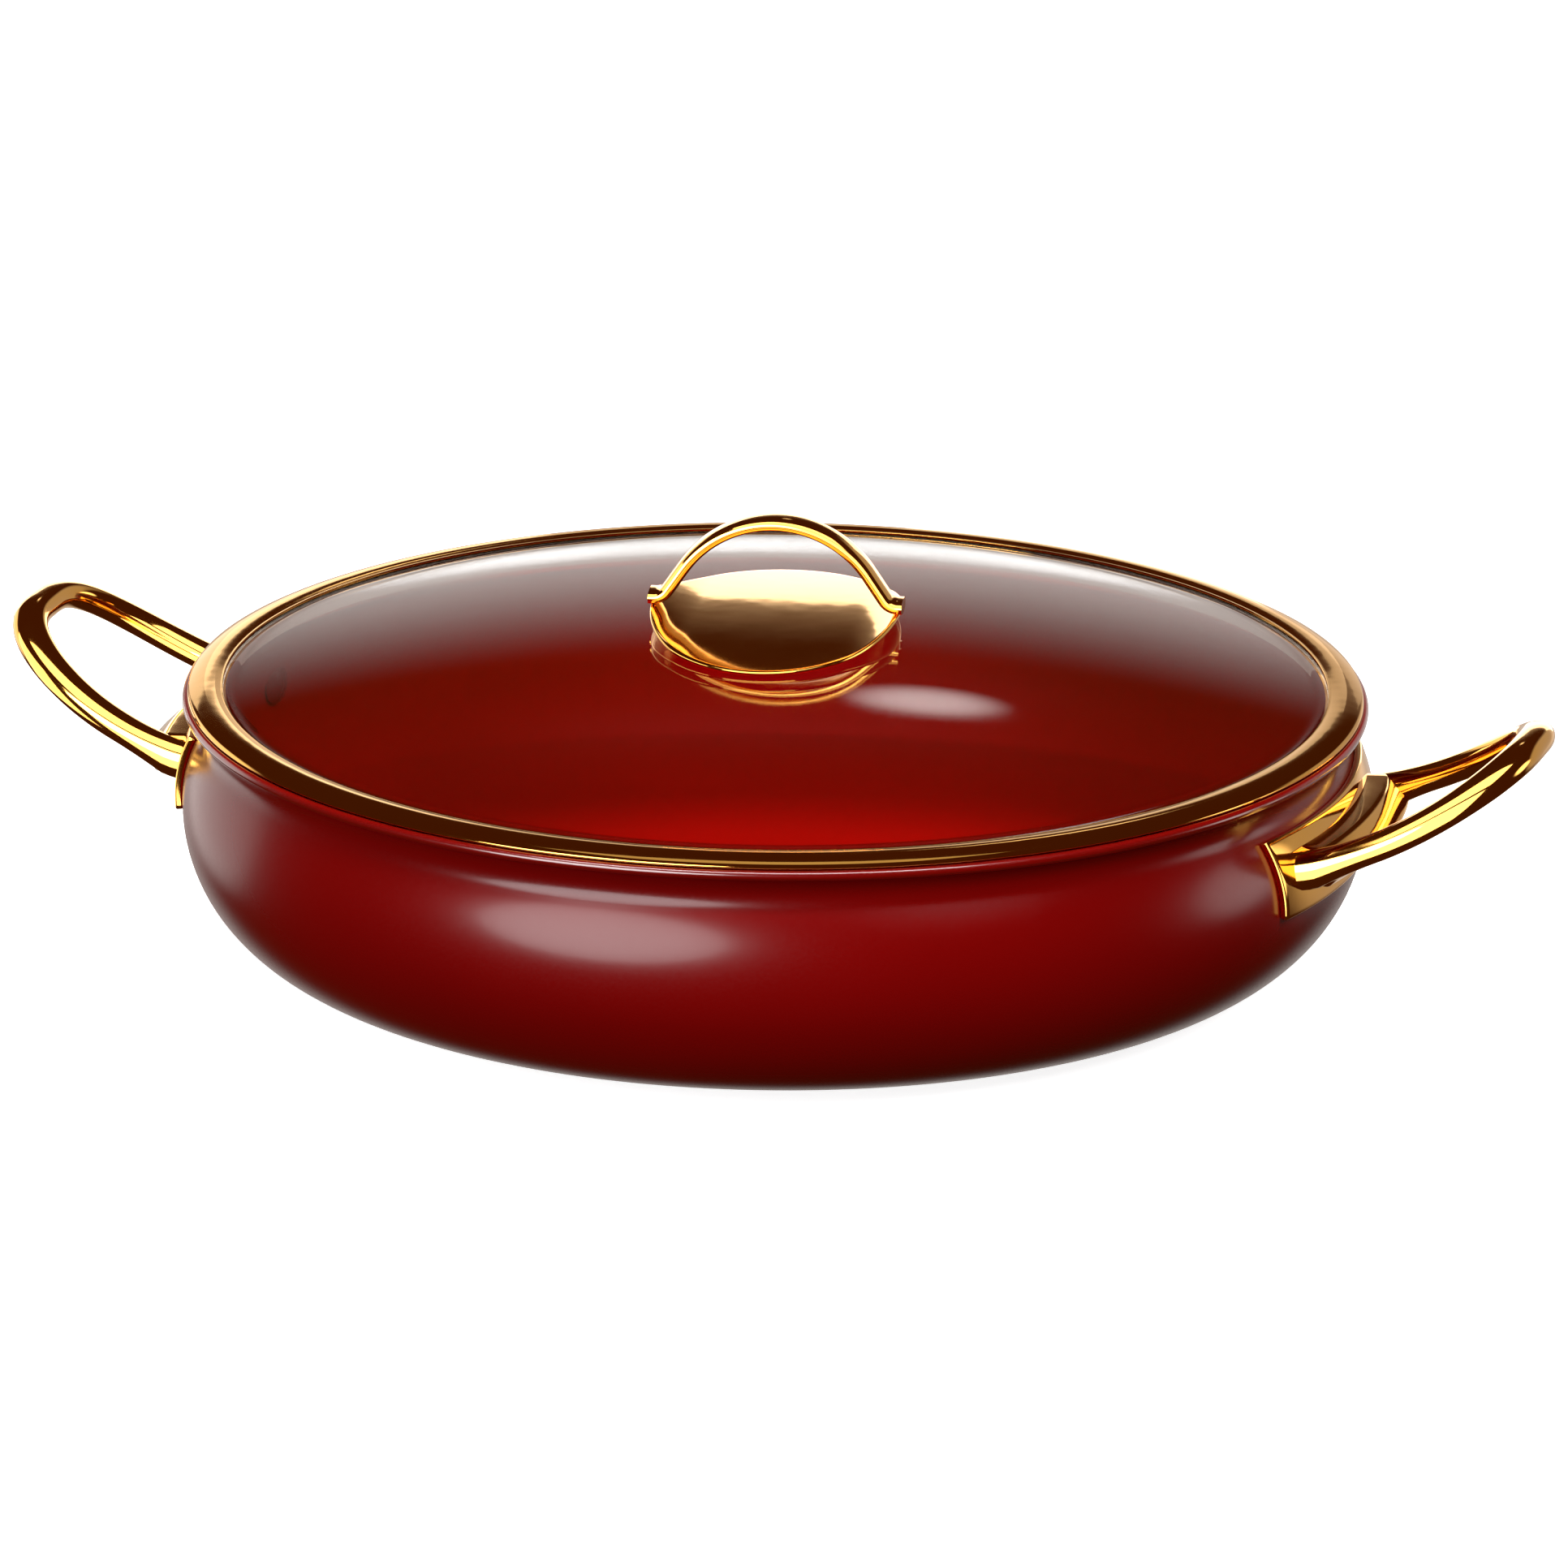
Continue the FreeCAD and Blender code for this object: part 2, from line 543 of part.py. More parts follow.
CROWN_EDGE = "Follow.crown_z + sqrt(Sizes.crown_radius^2 - (Follow.band_radius - Follow.crown_x)^2)"
CROWN_LIP = "Follow.crown_z + sqrt(Sizes.crown_radius^2 - (Follow.lip_radius - Follow.crown_x)^2)"
FOLD_Z = "(Follow.seat_z + Sizes.band_sheet)"
FOLD_X = "Follow.crown_x + sqrt(Follow.crown_inner^2 - (" + FOLD_Z + " - Follow.crown_z)^2)"
SKIRT_Z = "Follow.seat_z - Sizes.skirt_depth"
lid_band = revolved("lid_band", [
    (F + "lip_radius", F + "lip_z"),
    (F + "lip_radius", CROWN_LIP, "Sizes.crown_radius", -1),
    (F + "band_radius", CROWN_EDGE),
    (F + "band_radius", F + "seat_z"),
    (F + "skirt_radius", F + "seat_z"),
    (F + "skirt_radius", SKIRT_Z),
    (F + "skirt_inner", SKIRT_Z),
    (F + "skirt_inner", FOLD_Z),
    (FOLD_X, FOLD_Z, F + "crown_inner", 1),
])

SEAL_UNDER = dome_height("Follow.dome_inner", "Follow.glass_radius")
lid_seal = revolved("lid_band_seal", [
    (F + "seal_radius", F + "seal_z"),
    (F + "skirt_inner", F + "seal_z"),
    (F + "skirt_inner", F + "seal_top"),
    (F + "glass_radius", F + "seal_top"),
    (F + "glass_radius", SEAL_UNDER, F + "dome_inner", 1),
    (F + "seal_radius", dome_height("Follow.dome_inner", "Follow.seal_radius")),
])

# ---------------------------------------------------------------- lid: plate and arch
# Both are built along X and turned to the grip's line at the end. The plate is an oval cut from
# a sheet that follows the dome one way and curls up at its tips the other way. Its section is
# drawn about the dome's centre and turned a few degrees about a line through it.
def turned_to_grip(piece):
    """Turns a finished piece about Z to the grip's line."""
    piece.Placement = FreeCAD.Placement(
        FreeCAD.Vector(0, 0, 0), FreeCAD.Rotation(FreeCAD.Vector(0, 0, 1), 1))
    piece.setExpression("Placement.Rotation.Angle", "Sizes.lid_turn * 1 deg")


PLATE_R = "(Sizes.dome_radius + Sizes.plate_gap)"
UNDER = "0"
TOP = "Sizes.plate_sheet"


def curl_x(offset):
    """The sheet's tip, out from the middle, on the face this far above its under face."""
    return "(Sizes.curl_start + (Sizes.curl_radius - %s) * sin(Follow.curl_angle))" % offset


def curl_z(offset):
    """The sheet's tip, up from the dome's centre, on the same face."""
    return "(%s + %s + (Sizes.curl_radius - %s) * (1 - cos(Follow.curl_angle)))" % (
        PLATE_R, offset, offset)


plate_sheet = new_body("lid_plate_sheet")
plate_section = outline(plate_sheet, "lid_plate_section", [
    ("-Sizes.curl_start", PLATE_R),
    ("Sizes.curl_start", PLATE_R, "Sizes.curl_radius", 1),
    (curl_x(UNDER), curl_z(UNDER)),
    (curl_x(TOP), curl_z(TOP), "Sizes.curl_radius - Sizes.plate_sheet", -1),
    ("Sizes.curl_start", PLATE_R + " + Sizes.plate_sheet"),
    ("-Sizes.curl_start", PLATE_R + " + Sizes.plate_sheet",
     "Sizes.curl_radius - Sizes.plate_sheet", -1),
    ("-" + curl_x(TOP), curl_z(TOP)),
    ("-" + curl_x(UNDER), curl_z(UNDER), "Sizes.curl_radius", 1),
])
plate_section.setExpression("AttachmentOffset.Base.y", "Follow.dome_z")
plate_turn = plate_sheet.newObject("PartDesign::Revolution", "lid_plate_turned")
plate_turn.Profile = plate_section
plate_turn.ReferenceAxis = (plate_section, ["H_Axis"])
plate_turn.Midplane = True
plate_turn.setExpression(
    "Angle", "2 * Sizes.sheet_over * asin(Sizes.plate_half_length / Sizes.dome_radius)")

oval = doc.addObject("Part::Ellipse", "lid_plate_oval")
oval.setExpression("MajorRadius", "Sizes.plate_half_length")
oval.setExpression("MinorRadius", "Sizes.plate_half_width")
oval.Placement = FreeCAD.Placement(
    FreeCAD.Vector(0, 0, 0), FreeCAD.Rotation(FreeCAD.Vector(0, 0, 1), 90))
column = doc.addObject("Part::Extrusion", "lid_plate_column")
column.Base = oval
column.Dir = (0, 0, 1)
column.Solid = True
column.setExpression("LengthFwd", "Follow.plate_z * 2")
lid_plate = common("lid_plate", plate_sheet, column)
turned_to_grip(lid_plate)


def arch_point(along, offset, hand):
    """A corner of the arch's outline, at the end of the arc, run, curl or foot.

    offset is the distance outside the centre line, and hand is 1 or -1 for the side.
    """
    if along == "arc":
        x = "(Follow.grip_radius + %s) * sin(Follow.grip_angle)" % offset
        z = "Follow.grip_z - Follow.grip_radius + (Follow.grip_radius + %s) * cos(Follow.grip_angle)"
        z = z % offset
    elif along == "run":
        x = "Follow.foot_x - (Sizes.foot_radius - %s) * sin(Follow.grip_angle)" % offset
        z = "Follow.foot_z + Sizes.foot_radius - (Sizes.foot_radius - %s) * cos(Follow.grip_angle)"
        z = z % offset
    elif along == "curl":
        x = "Follow.foot_x"
        z = "Follow.foot_z + " + offset
    else:
        x = "Follow.foot_x + Sizes.foot_end"
        z = "Follow.foot_z + " + offset
    return ("%d * (%s)" % (hand, x), z)


OUT = "(Sizes.grip_sheet / 2)"
IN = "(-Sizes.grip_sheet / 2)"
CURL_OUT = "Sizes.foot_radius - Sizes.grip_sheet / 2"
CURL_IN = "Sizes.foot_radius + Sizes.grip_sheet / 2"
arch_outline = [
    arch_point("foot", IN, 1),
    arch_point("foot", OUT, 1),
    arch_point("curl", OUT, 1) + (CURL_OUT, -1),
    arch_point("run", OUT, 1),
    arch_point("arc", OUT, 1) + ("Follow.grip_radius + Sizes.grip_sheet / 2", 1),
    arch_point("arc", OUT, -1),
    arch_point("run", OUT, -1) + (CURL_OUT, -1),
    arch_point("curl", OUT, -1),
    arch_point("foot", OUT, -1),
    arch_point("foot", IN, -1),
    arch_point("curl", IN, -1) + (CURL_IN, 1),
    arch_point("run", IN, -1),
    arch_point("arc", IN, -1) + ("Follow.grip_radius - Sizes.grip_sheet / 2", -1),
    arch_point("arc", IN, 1),
    arch_point("run", IN, 1) + (CURL_IN, 1),
    arch_point("curl", IN, 1),
]
arch = padded("lid_grip_strap", arch_outline, "Sizes.grip_width", "XZ_Plane")
doc.recompute()
TOUCHING = 1e-6
side_edges = []
for number, edge in enumerate(arch.Shape.Edges, start=1):
    if abs(abs(edge.CenterOfMass.y) - sizes["grip_width"] / 2) < TOUCHING:
        side_edges.append("Edge%d" % number)
square_edged = arch.Tip
rounding = arch.newObject("PartDesign::Fillet", "lid_grip_rounding")
rounding.Base = (square_edged, side_edges)
rounding.setExpression("Radius", "Sizes.grip_edge")
arch.Tip = rounding
plate_in_place = common("lid_plate_uncut", plate_sheet, column)
lid_grip = cut("lid_grip", arch, plate_in_place)
turned_to_grip(lid_grip)


# ---------------------------------------------------------------- lid: what clamps the grip
def ring(label, inner, outer, low, high):
    """A flat ring about Z."""
    return revolved(label, [(inner, low), (outer, low), (outer, high), (inner, high)])


BORE = "Sizes.screw_radius + Sizes.screw_clearance"
BORE_TOP = "Follow.stud_z + Sizes.screw_reach + Sizes.bore_tip"
STUD_TOP = "Follow.plate_z - Sizes.stud_clearance"
HEAD_UNDER = "Follow.head_z - Sizes.screw_head_height"
lid_stud = revolved("lid_stud", [
    (BORE, F + "stud_z"),
    ("Sizes.stud_radius", F + "stud_z"),
    ("Sizes.stud_radius", STUD_TOP),
    ("0", STUD_TOP),
    ("0", BORE_TOP),
    (BORE, BORE_TOP),
])
ring("lid_gasket_upper", "Sizes.glass_hole_radius", "Sizes.gasket_radius",
     F + "apex_z", F + "plate_z - Sizes.gasket_clearance")
ring("lid_gasket_lower", BORE + " + Sizes.gasket_bore", "Sizes.gasket_radius",
     F + "washer_z", F + "gasket_z")
ring("lid_washer", BORE + " + Sizes.washer_bore", "Sizes.washer_radius",
     F + "head_z", F + "washer_z")
screw_blank = revolved("lid_screw_blank", [
    ("0", HEAD_UNDER),
    ("Sizes.screw_head_radius - Sizes.screw_edge_in", HEAD_UNDER, "Sizes.screw_edge_radius", 1),
    ("Sizes.screw_head_radius", HEAD_UNDER + " + Sizes.screw_edge_up"),
    ("Sizes.screw_head_radius", F + "head_z"),
    ("Sizes.screw_radius", F + "head_z"),
    ("Sizes.screw_radius", F + "stud_z + Sizes.screw_reach"),
    ("0", F + "stud_z + Sizes.screw_reach"),
])
slot = doc.addObject("Part::Box", "lid_screw_slot")
slot.setExpression("Length", "2 * Sizes.screw_head_radius")
slot.setExpression("Width", "Sizes.screw_slot")
slot.setExpression("Height", "Sizes.screw_slot")
slot.setExpression("Placement.Base.x", "-Sizes.screw_head_radius")
slot.setExpression("Placement.Base.y", "-Sizes.screw_slot / 2")
slot.setExpression("Placement.Base.z", HEAD_UNDER)
cut("lid_screw", screw_blank, slot)

# ---------------------------------------------------------------- check and write
NODES = [
    "pot_body", "base_disc",
    "handle_plate_right", "handle_plate_left", "handle_loop_right", "handle_loop_left",
    "handle_rivets_right", "handle_rivets_left",
    "lid_glass", "lid_band", "lid_band_seal", "lid_plate", "lid_grip",
    "lid_stud", "lid_gasket_upper", "lid_gasket_lower", "lid_washer", "lid_screw",
]
doc.recompute()
failed = [o.Name for o in doc.Objects if "Invalid" in o.State or "Error" in o.State]
if failed:
    raise RuntimeError("failed objects: " + ", ".join(failed))
os.makedirs("parts", exist_ok=True)
for node in NODES:
    piece = doc.getObjectsByLabel(node)[0]
    shape = piece.Shape
    if shape.isNull() or not shape.isValid() or not shape.Solids:
        raise RuntimeError(node + " has no valid solid")
    shape.exportStep("parts/%s.step" % node)
    box = shape.BoundBox
    print("%-20s %d solid %10.1f mm3  x %7.1f %7.1f  y %7.1f %7.1f  z %6.1f %6.1f" % (
        node, len(shape.Solids), shape.Volume,
        box.XMin, box.XMax, box.YMin, box.YMax, box.ZMin, box.ZMax))
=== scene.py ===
# %% [markdown]
# # A lidded casserole in red lacquer and gold
# The object is a shallow pan of pressed steel in red lacquer, with a clear glass lid. Its two side
# loops, the band round the glass and the arched grip are polished gold. The pieces were designed in
# CAD, and this lesson gives them their looks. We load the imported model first. Every new mesh is made
# in metres in the same frame, so a piece needs no fitting: it goes where the CAD piece is.

# %% Load the frame
import bmesh
import bpy
import math
from mathutils import Matrix, Vector


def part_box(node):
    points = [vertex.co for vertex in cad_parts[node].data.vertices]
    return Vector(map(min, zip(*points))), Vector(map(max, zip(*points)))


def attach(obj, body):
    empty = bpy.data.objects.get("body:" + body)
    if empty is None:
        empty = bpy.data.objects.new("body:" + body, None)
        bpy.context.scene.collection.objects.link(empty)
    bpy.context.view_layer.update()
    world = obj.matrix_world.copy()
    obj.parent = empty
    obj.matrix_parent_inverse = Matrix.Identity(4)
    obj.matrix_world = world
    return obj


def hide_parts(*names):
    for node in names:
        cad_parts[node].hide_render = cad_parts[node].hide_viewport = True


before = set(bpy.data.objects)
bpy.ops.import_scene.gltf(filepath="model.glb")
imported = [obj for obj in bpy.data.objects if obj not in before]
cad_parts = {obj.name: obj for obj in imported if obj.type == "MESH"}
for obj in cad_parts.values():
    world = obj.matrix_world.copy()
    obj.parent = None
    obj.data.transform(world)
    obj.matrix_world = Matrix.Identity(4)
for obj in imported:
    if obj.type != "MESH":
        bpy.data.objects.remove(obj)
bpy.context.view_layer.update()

# %% [markdown]
# ## Sizes
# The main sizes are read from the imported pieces, so the looks follow the CAD. The radii of the curves
# are given in millimetres, because a box can't tell them. MM turns millimetres into Blender's metres.

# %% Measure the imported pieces
MM = 0.001
ROLL = 1.25
WALL = 1.2
MOUTH_INSET = 6.0
pan_low, pan_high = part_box("pot_body")
RIM = pan_high.x / MM
RIM_Z = pan_high.z / MM - ROLL
PAN_Z = pan_low.z / MM
MOUTH = RIM - MOUTH_INSET
print("rim radius %.1f mm, middle of the roll at %.1f mm" % (RIM, RIM_Z))

# %% [markdown]
# ## Camera
# The pan is seen from a little to one side and about 17 degrees above, from far away, so that its rim
# is nearly a true ellipse. A long lens at that distance does this. The tiny roll tilts the picture.
# The camera looks at a point just below the rim and a touch to the right of the axis.

# %% Place the camera
VIEW_SIDE = math.radians(16.6)
VIEW_UP = math.radians(16.94)
VIEW_ROLL = math.radians(0.58)
DISTANCE = 3.65
LENS = 340.3
AIM_RIGHT = 0.0023
AIM_DOWN = 0.0222
toward = Vector((math.sin(VIEW_SIDE), -math.cos(VIEW_SIDE), 0))
rightward = Vector((math.cos(VIEW_SIDE), math.sin(VIEW_SIDE), 0))
upward = Vector((0, 0, 1))
rim_centre = upward * RIM_Z * MM
aim = rim_centre + rightward * AIM_RIGHT - upward * AIM_DOWN
eye = rim_centre + (toward * math.cos(VIEW_UP) + upward * math.sin(VIEW_UP)) * DISTANCE
camera = bpy.data.objects.new("camera", bpy.data.cameras.new("camera"))
bpy.context.collection.objects.link(camera)
camera.location = eye
turn = (aim - eye).to_track_quat("-Z", "Y").to_matrix()
camera.rotation_euler = (turn @ Matrix.Rotation(VIEW_ROLL, 3, "Z")).to_euler()
camera.data.lens = LENS
camera.data.sensor_width = 36
camera.data.clip_end = 50
bpy.context.scene.camera = camera
print("camera %.2f m from the rim, lens %.0f mm" % (DISTANCE, LENS))

# %% [markdown]
# ## Colour view
# The Standard view keeps the lacquer's red as deep as it is mixed. Blender's usual view softens strong
# colours towards grey, which suits a sunny landscape but not a plain studio.

# %% Choose the colour view
colour_view = bpy.context.scene.view_settings
colour_view.view_transform = "Standard"
print("view transform:", colour_view.view_transform)


# %% [markdown]
# ## Node helpers
# A material is a small graph of nodes. These two helpers keep each graph short to write. One starts a
# material, and the other adds a node and sets its values in one line. A third links two sockets.

# %% Add and join nodes
def new_material(name):
    """A material with a Principled shader, and the tree it sits in."""
    material = bpy.data.materials.new(name)
    material.use_nodes = True
    tree = material.node_tree
    return material, tree, tree.nodes["Principled BSDF"]


def add(tree, kind, **values):
    """A node; a value goes to the property or else to the input of that name, with _ for a space."""
    node = tree.nodes.new(kind)
    for key, value in values.items():
        if hasattr(node, key):
            setattr(node, key, value)
        else:
            node.inputs[key.replace("_", " ")].default_value = value
    return node


def join(tree, source, target):
    """Links an output to an input."""
    tree.links.new(source, target)


print("node helpers ready")


# %% [markdown]
# ## Patterns
# No real surface is even. A noise pattern on the piece's own coordinates stays fixed to the piece when
# it moves. A map range turns the pattern into values such as a roughness, a mix turns it into a
# colour, and a bump turns it into a very low relief.

# %% Patterns on the piece's own coordinates
def own_place(tree):
    """The piece's own coordinates, in metres."""
    return add(tree, "ShaderNodeTexCoord").outputs["Object"]


def noise(tree, place, scale, detail=3, rough=0.5):
    """A cloudy 0 to 1 pattern; scale is about the number of clouds in a metre."""
    node = add(tree, "ShaderNodeTexNoise", Scale=scale, Detail=detail, Roughness=rough)
    join(tree, place, node.inputs["Vector"])
    return node.outputs["Fac"]


def spread(tree, source, low, high, start=0.3, end=0.7):
    """Turns a pattern, from start to end, into values from low to high."""
    node = add(tree, "ShaderNodeMapRange", From_Min=start, From_Max=end, To_Min=low, To_Max=high)
    join(tree, source, node.inputs["Value"])
    return node.outputs["Result"]


def two_colours(tree, factor, first, second):
    """A colour between two, by a pattern."""
    node = add(tree, "ShaderNodeMix", data_type="RGBA")
    node.inputs[6].default_value = (*first, 1)
    node.inputs[7].default_value = (*second, 1)
    join(tree, factor, node.inputs["Factor"])
    return node.outputs[2]


def relief(tree, shader, height, distance, before=None):
    """Adds a bump from a height pattern, on top of an earlier one if there is one."""
    bump = add(tree, "ShaderNodeBump", Strength=1.0, Distance=distance)
    join(tree, height, bump.inputs["Height"])
    if before is not None:
        join(tree, before, bump.inputs["Normal"])
    join(tree, bump.outputs["Normal"], shader.inputs["Normal"])
    return bump.outputs["Normal"]


print("patterns ready")


# %% [markdown]
# ## Red lacquer
# The real pan is enamelled or stove-lacquered steel: a deep red colour under a smooth clear skin. The
# skin gives the soft pale highlight, and its faint orange peel keeps that highlight from looking
# like plastic. The colour drifts a little from place to place, because lacquer is never quite even.
# A weak specular level keeps the red pure beside the highlight, where a strong one would grey it.

# %% Red lacquer
def red_lacquer(name="red_lacquer", low=0.22, high=0.27, shine=0.32, skin=0.12, deep=0.105):
    """Red under a clear skin: roughness from low to high, and how deep the red is."""
    material, tree, shader = new_material(name)
    place = own_place(tree)
    cloud = noise(tree, place, 14, detail=2)
    colour = two_colours(tree, cloud, (deep, 0.0003, 0.0004), (deep * 1.2, 0.0004, 0.0005))
    join(tree, colour, shader.inputs["Base Color"])
    grain = noise(tree, place, 1400, detail=2)
    join(tree, spread(tree, grain, low, high), shader.inputs["Roughness"])
    shader.inputs["Specular IOR Level"].default_value = shine
    shader.inputs["Coat Weight"].default_value = skin
    shader.inputs["Coat Roughness"].default_value = 0.12
    shader.inputs["Coat IOR"].default_value = 1.5
    orange_peel = relief(tree, shader, noise(tree, place, 260, detail=1), 0.00001)
    relief(tree, shader, grain, 0.000001, before=orange_peel)
    return material


RED = red_lacquer()
# The inside's red (deep=0.17) is painted lighter than the outside's: painted light standing in for the
# light that falls in through the glass.
SATIN_RED_PAINTED_LIGHTER = red_lacquer("satin_red_inside_painted_lighter", low=0.42, high=0.5, shine=0.03, skin=0.0, deep=0.17)
RIM_RED = red_lacquer("bright_red_rim", low=0.2, high=0.25, shine=0.7, skin=0.9)
print("reds:", RED.name, SATIN_RED_PAINTED_LIGHTER.name, RIM_RED.name)


# %% [markdown]
# ## Finishing a mesh
# Each piece is shaped in a bmesh, Blender's workbench for meshes. At the end, doubled points are
# merged, the faces are turned outwards and only true edges are kept sharp.

# %% Finish a mesh
def finish_mesh(mesh, name, body, node, material, sharp=35):
    """Turns a bmesh into a piece that rides on a body and stands for a CAD node."""
    bmesh.ops.remove_doubles(mesh, verts=mesh.verts, dist=1e-7)
    bmesh.ops.recalc_face_normals(mesh, faces=mesh.faces)
    data = bpy.data.meshes.new(name)
    mesh.to_mesh(data)
    mesh.free()
    data.shade_smooth()
    data.set_sharp_from_angle(angle=math.radians(sharp))
    data.materials.append(material)
    piece = bpy.data.objects.new(name, data)
    bpy.context.collection.objects.link(piece)
    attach(piece, body)
    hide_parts(node)
    print("%-20s %6d faces" % (name, len(data.polygons)))
    return piece


print("finishing helper ready")


# %% [markdown]
# ## Turning on the axis
# The real pan is pressed and spun, so a turned section is the natural way to make it. Half a section
# is drawn with arcs, in millimetres out from the axis and up. The spin operator then turns it once
# round, and use_merge closes the seam.

# %% Turn a section
def arc(centre, radius, start, end, steps):
    """Points of a round stretch of a section, from one angle to another in degrees."""
    turns = [math.radians(start + (end - start) * step / steps) for step in range(steps + 1)]
    return [(centre[0] + radius * math.cos(a), centre[1] + radius * math.sin(a)) for a in turns]


def draw_section(mesh, points, closed=True):
    """The section's points as a chain of edges."""
    verts = [mesh.verts.new((x * MM, 0, z * MM)) for x, z in points]
    edges = [mesh.edges.new(pair) for pair in zip(verts, verts[1:])]
    if closed:
        edges.append(mesh.edges.new((verts[-1], verts[0])))
    return verts, edges


def lathe(mesh, points, steps, closed=True):
    """Turns a section once round the Z axis."""
    verts, edges = draw_section(mesh, points, closed)
    bmesh.ops.spin(mesh, geom=verts + edges, axis=(0, 0, 1), cent=(0, 0, 0), use_merge=True,
                   angle=2 * math.pi, steps=steps)


print("turning helpers ready")

# %% [markdown]
# ## The pan's circles
# The pan's section is a chain of arcs that flow into each other: a nearly flat bottom, a tight
# corner, a round shoulder, and a flare up to the mouth. The first and the last are known, so the
# places where they meet are worked out. That way no join shows as a ridge.

# %% The circles of the section
FLARE_R = 8.0
FLARE_DROP = 6.8
SHOULDER_R = 37.0
BOTTOM_R = 135.0
CORNER_INSET = 51.0
flare = (MOUTH + FLARE_R, RIM_Z - FLARE_DROP)
reach = SHOULDER_R + FLARE_R - WALL
shoulder_x = RIM - SHOULDER_R
shoulder_rise = math.sqrt(reach ** 2 - (flare[0] - shoulder_x) ** 2)
shoulder_turn = math.degrees(math.asin(shoulder_rise / reach))
BELLY_Z = flare[1] - shoulder_rise
shoulder = (shoulder_x, BELLY_Z)
bottom = (RIM - CORNER_INSET, PAN_Z + BOTTOM_R)
corner_r = ((BOTTOM_R ** 2 - CORNER_INSET ** 2 - (bottom[1] - BELLY_Z) ** 2)
            / (2 * (BOTTOM_R - CORNER_INSET)))
corner = (RIM - corner_r, BELLY_Z)
corner_turn = math.degrees(math.atan2(BELLY_Z - bottom[1], corner[0] - bottom[0]))
bead = (RIM - ROLL, RIM_Z)
print("corner radius %.1f mm, widest at %.1f mm up" % (corner_r, BELLY_Z))

# %% [markdown]
# ## Pan
# The real pan is drawn from steel sheet and its edge is rolled over to a bead, which makes it stiff
# and kind to the hand. The outline runs up the outside, round the bead and back down one wall
# thickness in. Turning that one outline makes the whole pan, with its wall closed at the edge.

# %% Pan
FLARE_TOP_OUTSIDE = 126
FLARE_TOP_INSIDE = 134
ROLL_START = -100
ROLL_END = 138


def pan_section():
    points = [(0, PAN_Z)]
    points += arc(bottom, BOTTOM_R, -90, corner_turn, steps=10)
    points += arc(corner, corner_r, corner_turn, 0, steps=28)[1:]
    points += arc(shoulder, SHOULDER_R, 0, shoulder_turn, steps=14)[1:]
    points += arc(flare, FLARE_R - WALL, 180 + shoulder_turn, FLARE_TOP_OUTSIDE, steps=16)[1:]
    points += arc(bead, ROLL, ROLL_START, ROLL_END, steps=20)
    points += arc(flare, FLARE_R, FLARE_TOP_INSIDE, 180 + shoulder_turn, steps=14)
    points += arc(shoulder, SHOULDER_R - WALL, shoulder_turn, 0, steps=12)[1:]
    points += arc(corner, corner_r - WALL, 0, corner_turn, steps=24)[1:]
    points += arc(bottom, BOTTOM_R - WALL, corner_turn, -90, steps=8)[1:]
    points.append((0, PAN_Z + WALL))
    return points


mesh = bmesh.new()
lathe(mesh, pan_section(), steps=288, closed=False)
pan = finish_mesh(mesh, "pan", "pot", "pot_body", RED)


# %% [markdown]
# ## Satin inside and bright roll
# One lacquer covers the pan, but its gloss isn't the same everywhere. Inside it is satin, so that food
# doesn't stick. Its red inside is painted lighter than outside, as painted light for the light that
# falls in through the glass. On the rolled edge it is thick and bright. A piece can hold several
# materials, and each face keeps the number of its own.

# %% Satin inside and bright roll
BELOW_ROLL = 2.5
NEARLY_FLAT = 0.95


def is_inside(face):
    """Below the roll, and facing the axis or straight up."""
    to_axis = face.normal.xy.dot(face.center.xy) < 0
    return face.center.z < (RIM_Z - BELOW_ROLL) * MM and (to_axis or face.normal.z > NEARLY_FLAT)


def is_on_roll(face):
    """On the bead at the top of the wall."""
    return face.center.xy.length > (RIM - 2 * ROLL) * MM and face.center.z > (RIM_Z - 0.9 * ROLL) * MM


def paint(piece, material, chosen):
    """Gives another finish to the faces that a test chooses."""
    piece.data.materials.append(material)
    faces = [face for face in piece.data.polygons if chosen(face)]
    for face in faces:
        face.material_index = len(piece.data.materials) - 1
    print("%-20s %6d faces" % (material.name, len(faces)))


# The inside faces get the satin red that is painted lighter, as painted light.
paint(pan, SATIN_RED_PAINTED_LIGHTER, is_inside)
paint(pan, RIM_RED, is_on_roll)


# %% [markdown]
# ## Polished gold
# The fittings are polished metal with a thin gold plating. Metal has no colour of its own beyond its
# reflections, so the look comes from the tint and from what there is to reflect. Smudges vary the
# roughness, and a very low wave in the surface bends the reflections as hand polishing does.

# %% Polished gold
def polished_gold(tint=(1.0, 0.53, 0.11)):
    """Plated metal with a little cloud in its colour and its polish."""
    material, tree, shader = new_material("polished_gold")
    place = own_place(tree)
    cloud = noise(tree, place, 60)
    join(tree, two_colours(tree, cloud, tint, tuple(c * 0.94 for c in tint)),
         shader.inputs["Base Color"])
    shader.inputs["Metallic"].default_value = 1.0
    smudge = noise(tree, place, 90, detail=4, rough=0.6)
    join(tree, spread(tree, smudge, 0.05, 0.09), shader.inputs["Roughness"])
    relief(tree, shader, noise(tree, place, 120, detail=1), 0.00003)
    return material


GOLD = polished_gold()
print("material:", GOLD.name)

# %% [markdown]
# ## Band
# A thin gold ring is folded round the edge of the glass. Its top is a low curve that runs from the
# inner lip to a folded outer edge, and a short skirt reaches down inside the mouth of the pan. The
# folds get small arcs, because a bent sheet never has a sharp edge and the arc catches the light.

